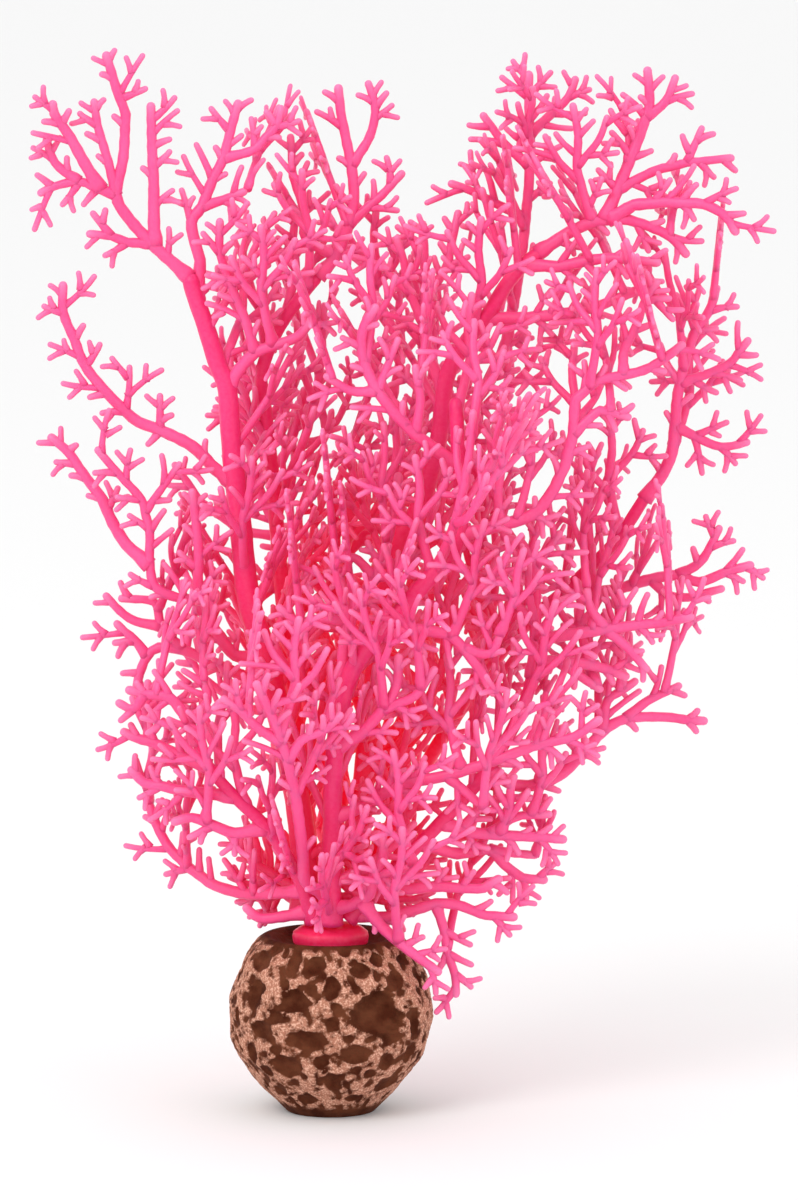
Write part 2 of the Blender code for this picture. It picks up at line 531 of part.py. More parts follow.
def limbs_of(spray, thicket):
    """The spray's limbs as branches, from its trimmed start."""
    first = trimmed(spray, np.array(spray["limbs"][0], float), LIMB_HALF[0], thicket)
    branches = Branches(first[0], LIMB_HALF[0])
    tips = [branches.add_limb(first[1:], LIMB_HALF, 0, 0)]
    for number, limb in enumerate(spray["limbs"][1:], 1):
        route = np.array(limb, float)
        starts, ends, _, _, nodes = branches.bars()
        far, share = nearest(route[:1], starts, ends)
        closest = far[0].argmin()
        joint = branches.split(nodes[closest], share[0, closest])
        if np.linalg.norm(route[0] - branches.at[joint]) < 2.0:
            route = route[1:]
        tips.append(branches.add_limb(route, SIDE_LIMB_HALF, joint, number))
    return branches, tips


def spare_room(spray, branches, thicket):
    """The least air round a spray's limbs, leaving out where it starts on its parent."""
    starts, ends, halves, _, _ = branches.bars()
    least = 99.0
    for start, end, half in zip(starts, ends, halves):
        points = steps_along(start, end, 0.0)
        near_root = np.linalg.norm(points - branches.at[0], axis=1) < 5
        own = spray["number"]
        clear = on_sheet(spray, points[~near_root])
        close = on_sheet(spray, points[near_root])
        least = min(least, thicket.room(clear, half * 1.3, [own]))
        least = min(least, thicket.room(close, half * 1.3, [own, spray["parent_number"]]))
    return least


def register(spray, starts, ends, halves, thicket):
    thicket.add(
        on_sheet(spray, np.atleast_2d(starts)),
        on_sheet(spray, np.atleast_2d(ends)),
        np.atleast_1d(halves) * 1.3,
        spray["number"],
    )


def lay_limbs(spray, thicket):
    """Lays the limbs, leaning the sheet by the least that keeps them clear of what stands there."""
    spray["base"] = base_on_parent(spray, thicket)
    wanted = spray.get("lean", 0.0)
    best = None
    for change in LEANS:
        spray["lean"] = wanted + change
        branches, tips = limbs_of(spray, thicket)
        room = spare_room(spray, branches, thicket)
        if best is None or room > best[0]:
            best = (room, spray["lean"])
        if room >= GAP:
            break
    spray["lean"] = best[1]
    branches, tips = limbs_of(spray, thicket)
    spray["branches"], spray["limb_tips"] = branches, tips
    starts, ends, halves, _, _ = branches.bars()
    register(spray, starts, ends, halves, thicket)
    if best[0] < GAP:
        print(spray["name"], "has too little room:", round(best[0], 2))


def twig_fits(spray, node, share, tip, thicket):
    """Whether a twig from a joint keeps clear of its own spray and of every other piece."""
    branches = spray["branches"]
    start, found = branches.joint(node, share)
    length = np.linalg.norm(tip - start)
    if length < SHORTEST_TWIG or np.linalg.norm(start - branches.at[0]) < NEAR:
        return False
    if (branches.ways_from(node, share) @ (tip - start) / length).max() > CLOSEST_WAYS:
        return False
    starts, ends, halves, limbs, nodes = branches.bars()
    parents = np.array(branches.parent)[nodes]
    others = (limbs != branches.limb[node]) & (parents != (-1 if found is None else found))
    for first, kept in ((1.6, others), (3.3, np.ones(len(limbs), bool))):
        points = steps_along(start, tip, first)
        far, _ = nearest(points, starts[kept], ends[kept])
        if kept.any() and (far - halves[kept]).min() < TWIG_HALF[0] + GAP:
            return False
    points = on_sheet(spray, steps_along(start, tip, 0.8))
    return thicket.room(points, TWIG_HALF[0] * 1.3 + SAFE, [spray["number"]]) >= GAP


def add_twig(spray, node, share, tip, thicket):
    """A twig from a joint to a tip, if it fits."""
    if not twig_fits(spray, node, share, tip, thicket):
        return False
    branches = spray["branches"]
    joint = branches.split(node, share)
    branches.add(tip, joint, *TWIG_HALF, max(branches.limb) + 1)
    register(spray, branches.at[joint], tip, TWIG_HALF[0], thicket)
    return True


def twig_to(spray, tip, thicket):
    """A twig to a drawn tip, from the bar that it would leave at the most natural angle."""
    branches = spray["branches"]
    joints = []
    for node, parent in enumerate(branches.parent):
        if parent < 0:
            continue
        along = branches.at[node] - branches.at[parent]
        last = 0.6 if branches.is_tip(node) else 0.95
        for share in np.linspace(0.05, last, 6):
            out = tip - branches.at[parent] - share * along
            length = np.linalg.norm(out)
            lean = math.acos(np.clip(np.dot(out, along) / length / np.linalg.norm(along), -1, 1))
            joints.append((length * (1 + 2 * abs(lean - TWIG_ANGLE)), node, share))
    for _, node, share in sorted(joints)[:6]:
        if add_twig(spray, node, share, tip, thicket):
            return


def sprout(spray, limb_tip, thicket):
    """Twigs along a limb by rule, on alternate sides and shorter towards its tip."""
    branches = spray["branches"]
    limb = branches.limb[limb_tip]
    route = np.array([branches.at[node] for node in branches.path(limb_tip)])
    lengths = np.linalg.norm(np.diff(route, axis=0), axis=1)
    total = lengths.sum()
    side = 1 if limb % 2 else -1
    for run in np.arange(TWIG_SPACING, total - 1.5, TWIG_SPACING):
        piece = min(int(np.searchsorted(np.cumsum(lengths), run)), len(lengths) - 1)
        along = (route[piece + 1] - route[piece]) / lengths[piece]
        angle = math.atan2(along[1], along[0]) + side * TWIG_ANGLE
        out = np.array([math.cos(angle), math.sin(angle)])
        at = route[piece] + (run - lengths[:piece].sum()) * along
        starts, ends, _, limbs, nodes = branches.bars()
        far, shares = nearest(at[None], starts[limbs == limb], ends[limbs == limb])
        closest = far[0].argmin()
        node, share = nodes[limbs == limb][closest], shares[0, closest]
        joint_at, _ = branches.joint(node, share)
        swing = 1 + 0.25 * math.sin(2.4 * run + spray["number"])
        reach = TWIG_LENGTH * swing * (1 - 0.3 * run / total)
        for length in (reach, 0.7 * reach):
            if add_twig(spray, node, share, joint_at + length * out, thicket):
                break
        side = -side


def turned_left(vector):
    return np.array([-vector[1], vector[0]])


def corner(at, first, second):
    """The outline's points between two bars at a node, going round it anticlockwise."""
    (along_a, half_a, long_a), (along_b, half_b, long_b) = first, second
    point_a = at + half_a * turned_left(along_a)
    point_b = at - half_b * turned_left(along_b)
    cross = along_a[0] * along_b[1] - along_a[1] * along_b[0]
    dot = float(np.dot(along_a, along_b))
    if cross > 0.25:
        apart = point_b - point_a
        reach = (apart[0] * along_b[1] - apart[1] * along_b[0]) / cross
        web = point_a + reach * along_a - at
        most = 0.7 * min(long_a, long_b) / max(reach, 1e-6)
        return [(at + web * min(1, most), (half_a + half_b) / 2)]
    if dot < 0:
        return [((point_a + point_b) / 2, (half_a + half_b) / 2)]
    return [(point_a, half_a), (point_b, half_b)]


def outline(branches):
    """The outline of the branches, walked anticlockwise, and the half width at each point."""
    neighbours = [[] for _ in branches.at]
    for node, parent in enumerate(branches.parent):
        if parent < 0:
            continue
        along = branches.at[node] - branches.at[parent]
        length = np.linalg.norm(along)
        along = along / length
        angle = math.atan2(along[1], along[0])
        back = math.atan2(-along[1], -along[0])
        neighbours[parent].append((angle, node, along, branches.start[node], length))
        neighbours[node].append((back, parent, -along, branches.end[node], length))
    for around in neighbours:
        around.sort(key=lambda entry: entry[0])
    before, node = 0, neighbours[0][0][1]
    first = (before, node)
    points = []
    while True:
        around = neighbours[node]
        came = [entry[1] for entry in around].index(before)
        back = around[came]
        onward = around[(came + 1) % len(around)]
        at = branches.at[node]
        if len(around) == 1:
            side = back[3] * turned_left(back[2])
            points += [(at + side, back[3]), (at - side, back[3])]
        else:
            points += corner(at, back[2:], onward[2:])
        before, node = node, onward[1]
        if (before, node) == first:
            return points


def needed(points):
    """The outline without points that lie on the line between their neighbours."""
    kept = []
    for number, (at, half) in enumerate(points):
        before = kept[-1][0] if kept else points[-1][0]
        after = points[(number + 1) % len(points)][0]
        far, _ = nearest(at[None], before[None], after[None])
        if far[0, 0] > STRAIGHT:
            kept.append((at, half))
    return kept


def flat_mesh(name, points):
    """A flat outline filled and thickened by 1 mm, lying in the drawing plane."""
    curve = bpy.data.curves.new(name, "CURVE")
    curve.dimensions = "2D"
    curve.fill_mode = "BOTH"
    curve.extrude = 0.5
    spline = curve.splines.new("POLY")
    spline.points.add(len(points) - 1)
    for point, (at, _) in zip(spline.points, points):
        point.co = (at[0], at[1], 0, 1)
    spline.use_cyclic_u = True
    holder = bpy.data.objects.new(name, curve)
    PIECES.objects.link(holder)
    return baked(holder, weld=0.001)


def build_spray(spray, finish):
    """The spray's flat outline, thickened by its width and bent to its sheet."""
    points = needed(outline(spray["branches"]))
    mesh = flat_mesh(spray["name"], points)
    flat = vertices_of(mesh)
    corners = np.array([at for at, _ in points])
    halves = np.array([half for _, half in points])
    which = np.linalg.norm(flat[:, None, :2] - corners, axis=-1).argmin(axis=1)
    off = np.sign(flat[:, 2]) * halves[which] * THICKNESS_SHARE
    move_vertices(mesh, on_sheet(spray, flat[:, :2], off) * MM)
    shell = bmesh.new()
    shell.from_mesh(mesh)
    bmesh.ops.recalc_face_normals(shell, faces=shell.faces)
    shell.to_mesh(mesh)
    shell.free()
    return add_object(spray["name"], mesh, finish)


def build_stem(name, first, last, route, finish):
    curve = bpy.data.curves.new(name, "CURVE")
    curve.dimensions = "3D"
    curve.bevel_depth = MM
    curve.bevel_resolution = 1
    curve.use_fill_caps = True
    spline = curve.splines.new("POLY")
    spline.points.add(len(route) - 1)
    radii = np.linspace(first, last, len(route))
    for point, at, radius in zip(spline.points, place(*np.array(route, float).T), radii):
        point.co = (*(at * MM), 1)
        point.radius = radius
    holder = bpy.data.objects.new(name, curve)
    PIECES.objects.link(holder)
    return add_object(name, baked(holder), finish)


def register_stem(number, first, last, route, thicket):
    points = place(*np.array(route, float).T)
    radii = np.linspace(first, last, len(route))
    thicket.add(points[:-1], points[1:], radii[:-1], number)


def turned(name, profile, sides):
    """A profile of half widths and heights turned round the upright axis, in metres."""
    mesh = bpy.data.meshes.new(name)
    corners = [(width * MM, 0, height * MM) for width, height in profile]
    mesh.from_pydata(corners, [(n, n + 1) for n in range(len(corners) - 1)], [])
    holder = bpy.data.objects.new(name, mesh)
    PIECES.objects.link(holder)
    screw = holder.modifiers.new("turn", "SCREW")
    screw.steps = sides
    screw.render_steps = sides
    screw.use_merge_vertices = True
    screw.merge_threshold = 1e-5
    return baked(holder)


def fine_outline():
    """The ball's outline with corners about one row apart."""
    corners = np.array(BALL_OUTLINE)
    runs = np.append(0, np.cumsum(np.linalg.norm(np.diff(corners, axis=0), axis=1)))
    even = np.linspace(0, runs[-1], int(runs[-1] / BALL_ROW) + 1)
    return [(float(np.interp(run, runs, corners[:, 0])), float(np.interp(run, runs, corners[:, 1])))
            for run in even]


def ball_width(height):
    """The ball's half width at a height, outside its crater."""
    side = np.array(BALL_OUTLINE[:12])
    return np.interp(height, side[:, 1], side[:, 0])


def front_pit(across, height, wide, high):
    """A pit that shows on the front, as its angle round the ball, height and half sizes."""
    rise = height
    for _ in range(5):
        depth = -math.sqrt(max(ball_width(rise) ** 2 - across**2, 1))
        rise = place(across, depth, height)[2]
    return math.atan2(depth, across), rise, wide, high


def back_pit(number):
    """A pit round the sides and back, placed by turning on by the golden angle."""
    share = (number * 0.618) % 1
    angle = math.pi * (0.06 + 0.88 * share)
    rise = 5 + 24 * (number + 0.5) / BACK_PITS
    size = 1.7 + 1.3 * abs(math.sin(2.3 * number))
    return angle, rise, size * 1.15, size


def pitted(points):
    """The ball's vertices with its lumps and pits, pushed towards or away from its axis."""
    width = np.hypot(points[:, 0], points[:, 1])
    angle = np.arctan2(points[:, 1], points[:, 0])
    height = points[:, 2]
    push = LUMP * np.sin(5 * angle + 0.3 * height) * np.sin(0.45 * height + 2 * np.cos(2 * angle))
    pits = [front_pit(*pit) for pit in FRONT_PITS] + [back_pit(n) for n in range(BACK_PITS)]
    for turn, rise, wide, high in pits:
        round_to = (angle - turn + math.pi) % (2 * math.pi) - math.pi
        away = (round_to * ball_width(rise) / wide) ** 2 + ((height - rise) / high) ** 2
        push -= PIT_DEPTH * min(wide, high) * np.clip(1 - away, 0, 1) ** 1.5
    outside = (width > ball_width(height) - 0.5) & (height > FOOT_EDGE) & (height < 33)
    share = 1 + np.where(outside, push, 0) / np.maximum(width, 1)
    return points * np.stack([share, share, np.ones_like(share)], axis=1)


def build_ball(finish):
    profile = [(0, 0), *fine_outline(), (0, CRATER_FLOOR)]
    mesh = turned("stone_ball", profile, BALL_SIDES)
    move_vertices(mesh, pitted(vertices_of(mesh) / MM) * MM)
    return add_object("stone_ball", mesh, finish)


def build_plug(finish):
    profile = [(0, 31.3), (6, 31.3), (7.4, 32.6), (7.4, 34.6), (5.5, 35.7), (0, 36)]
    return add_object("root_plug", turned("root_plug", profile, 14), finish)


def plain_fan(name, parent, base, turn, lean, size):
    """A copy of the plain fan, drawn from its base on a stem."""
    foot = np.array(base, float)
    limbs = [[foot + size * np.array(point) for point in limb] for limb in PLAIN_FAN]
    return dict(name=name, parent=parent, turn=turn, lean=lean, limbs=limbs)


def register_ball(thicket):
    """The ball as a ring of bars with its rim's roundness, so that sprays keep off it."""
    angles = np.linspace(0, 2 * math.pi, 13)
    ring = np.stack([9.2 * np.cos(angles), 9.2 * np.sin(angles), np.full(13, 23.9)], axis=1)
    thicket.add(ring[:-1], ring[1:], np.full(12, 10.3), -1)


def main():
    stone = material("pitted stone", (0.18, 0.1, 0.07), 0.85)
    pink = material("pink plastic", (0.9, 0.13, 0.3), 0.45)
    build_ball(stone)
    build_plug(pink)
    thicket = Thicket()
    register_ball(thicket)
    numbers = {}
    for number, (name, (first, last, route)) in enumerate(STEMS.items()):
        numbers[name] = number
        register_stem(number, first, last, route, thicket)
        build_stem(name, first, last, route, pink)
    sprays = SPRAYS + [plain_fan(*row) for row in PLAIN_FANS]
    for spray in sprays:
        spray["number"] = numbers[spray["name"]] = len(numbers)
        spray["parent_number"] = numbers[spray["parent"]]
        lay_limbs(spray, thicket)
    for spray in sprays:
        for tip in spray.get("tips", ()):
            twig_to(spray, np.array(tip, float), thicket)
    for spray in sprays:
        for tip in spray["limb_tips"]:
            sprout(spray, tip, thicket)
    for spray in sprays:
        build_spray(spray, pink)


for old in list(bpy.data.objects):
    bpy.data.objects.remove(old)
PIECES = bpy.data.collections.new("sea_fan")
bpy.context.scene.collection.children.link(PIECES)
main()
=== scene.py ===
import json
import math

import bpy
import numpy as np
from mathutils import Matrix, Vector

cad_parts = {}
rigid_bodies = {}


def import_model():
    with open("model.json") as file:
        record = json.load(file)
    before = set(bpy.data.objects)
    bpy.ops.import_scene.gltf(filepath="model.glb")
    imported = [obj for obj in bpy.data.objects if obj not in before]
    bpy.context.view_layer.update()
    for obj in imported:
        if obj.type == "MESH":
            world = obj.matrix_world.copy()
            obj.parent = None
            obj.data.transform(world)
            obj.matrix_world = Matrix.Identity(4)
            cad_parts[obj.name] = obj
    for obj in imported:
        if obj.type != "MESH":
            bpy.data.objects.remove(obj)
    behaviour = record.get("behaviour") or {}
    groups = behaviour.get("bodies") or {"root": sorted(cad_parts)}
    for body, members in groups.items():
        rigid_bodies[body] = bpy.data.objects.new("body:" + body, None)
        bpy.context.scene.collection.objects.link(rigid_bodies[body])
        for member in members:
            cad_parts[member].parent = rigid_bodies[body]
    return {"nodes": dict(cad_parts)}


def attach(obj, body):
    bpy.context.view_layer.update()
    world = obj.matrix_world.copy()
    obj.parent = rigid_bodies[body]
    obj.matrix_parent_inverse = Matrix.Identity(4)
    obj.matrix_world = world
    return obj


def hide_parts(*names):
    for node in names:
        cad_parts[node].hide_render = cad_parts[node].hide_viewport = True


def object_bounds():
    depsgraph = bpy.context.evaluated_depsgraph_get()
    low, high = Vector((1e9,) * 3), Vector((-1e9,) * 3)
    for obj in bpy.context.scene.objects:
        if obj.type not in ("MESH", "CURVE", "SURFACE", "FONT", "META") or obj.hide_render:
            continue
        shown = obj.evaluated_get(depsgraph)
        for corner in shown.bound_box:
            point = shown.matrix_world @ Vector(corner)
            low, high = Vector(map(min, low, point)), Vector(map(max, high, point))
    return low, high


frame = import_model()
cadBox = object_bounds()  # the solids' box, before anything is dressed
print("frame loaded:", len(frame["nodes"]), "nodes")

mm = 0.001

# The drawn sheet leans back by tilt. Gap is the air between pieces, safe a little more for twigs, and
# over what may stand out of the solids' box, all in mm as every length here
drawing = {
    "tilt": math.radians(8),
    "gap": 0.35,
    "safe": 0.25,
    "over": 0.9,
}

# Half widths of the branching work and the rules that its twigs keep
growth = {
    "limbHalf": (1.15, 0.8),
    "sideLimbHalf": (0.9, 0.7),
    "twigHalf": (0.74, 0.58),
    "near": 1.6,
    "stout": 1.3,
    "search": 13,
    "shortestTwig": 2.4,
    "closestWays": 0.85,
    "twigAngle": math.radians(50),
    "twigSpacing": 10.5,
    "twigLength": 5.0,
    "leans": (0, 0.08, -0.08, 0.16, -0.16, 0.24, -0.24, 0.34, -0.34, 0.46, -0.46),
}

# Main stems: first and last radius, and the route from the root plug
stems = {
    "left_stem": (2.5, 1.5, (
        (-5, 0, 36.3), (-5, 1, 48), (-6.6, 1.5, 61), (-9.4, 2, 74), (-12.2, 2, 86),
        (-15.2, 2, 96), (-16.3, 2, 104), (-17.1, 1.5, 113), (-18.1, 1, 121), (-18.8, 0.5, 129),
        (-19.4, 0, 137), (-21, 0, 141), (-23.2, -0.5, 148), (-25.6, -1, 155), (-26.4, -1, 158.5))),
    "front_stem": (1.8, 1.3, (
        (0.1, -5, 35.6), (0.3, -7, 50), (0.9, -11, 68), (2.8, -13, 80), (6.6, -14, 87.5),
        (14.2, -15, 96), (20.8, -15, 103.6), (24, -15, 108.5), (24.6, -14, 116), (24, -13, 127),
        (23.6, -12, 135))),
    "right_stem": (2.1, 1.2, (
        (5, 0.4, 36.4), (5.5, 3, 52), (7, 4, 70), (9, 4, 88), (12, 3.5, 106), (16, 3, 113),
        (18.4, 2.5, 119), (20.6, 2, 128), (22, 1, 139), (26, 0, 146), (30, -1, 151), (33, -2, 156),
        (36.4, -2, 160), (40, -2, 162.6))),
    "back_stem": (1.5, 1.1, (
        (-3, 4, 36.9), (-5, 9, 60), (-8, 11, 85), (-10, 11, 108), (-11, 11, 120), (-12.5, 10, 134),
        (-13, 9, 140), (-10, 9, 148), (-5, 8, 155), (-2, 8, 158.5))),
    "low_right_stem": (1.3, 1.1, (
        (3.4, -3.7, 36.3), (11, -4.5, 45), (20, -5.5, 54), (29, -6, 64), (36, -7, 76), (38.5, -7, 86),
        (38.5, -7, 101))),
    "right_back_stem": (1.4, 1.1, (
        (3.1, 3.9, 37.2), (12, 10, 55), (24, 13, 75), (35, 13, 90), (46, 12, 100), (54, 10, 108),
        (60, 8, 117))),
    "left_low_stem": (1.3, 1.0, (
        (-3.2, -3.8, 36), (-6.2, -6.5, 45), (-12, -9, 54), (-18, -11, 60), (-23, -12, 66),
        (-25.5, -12, 72))),
    "rear_stem": (1.4, 1.1, (
        (0.1, 5, 37.3), (1, 14, 51), (2, 22, 67), (2, 27, 84), (1, 28, 102), (0, 26, 119))),
}

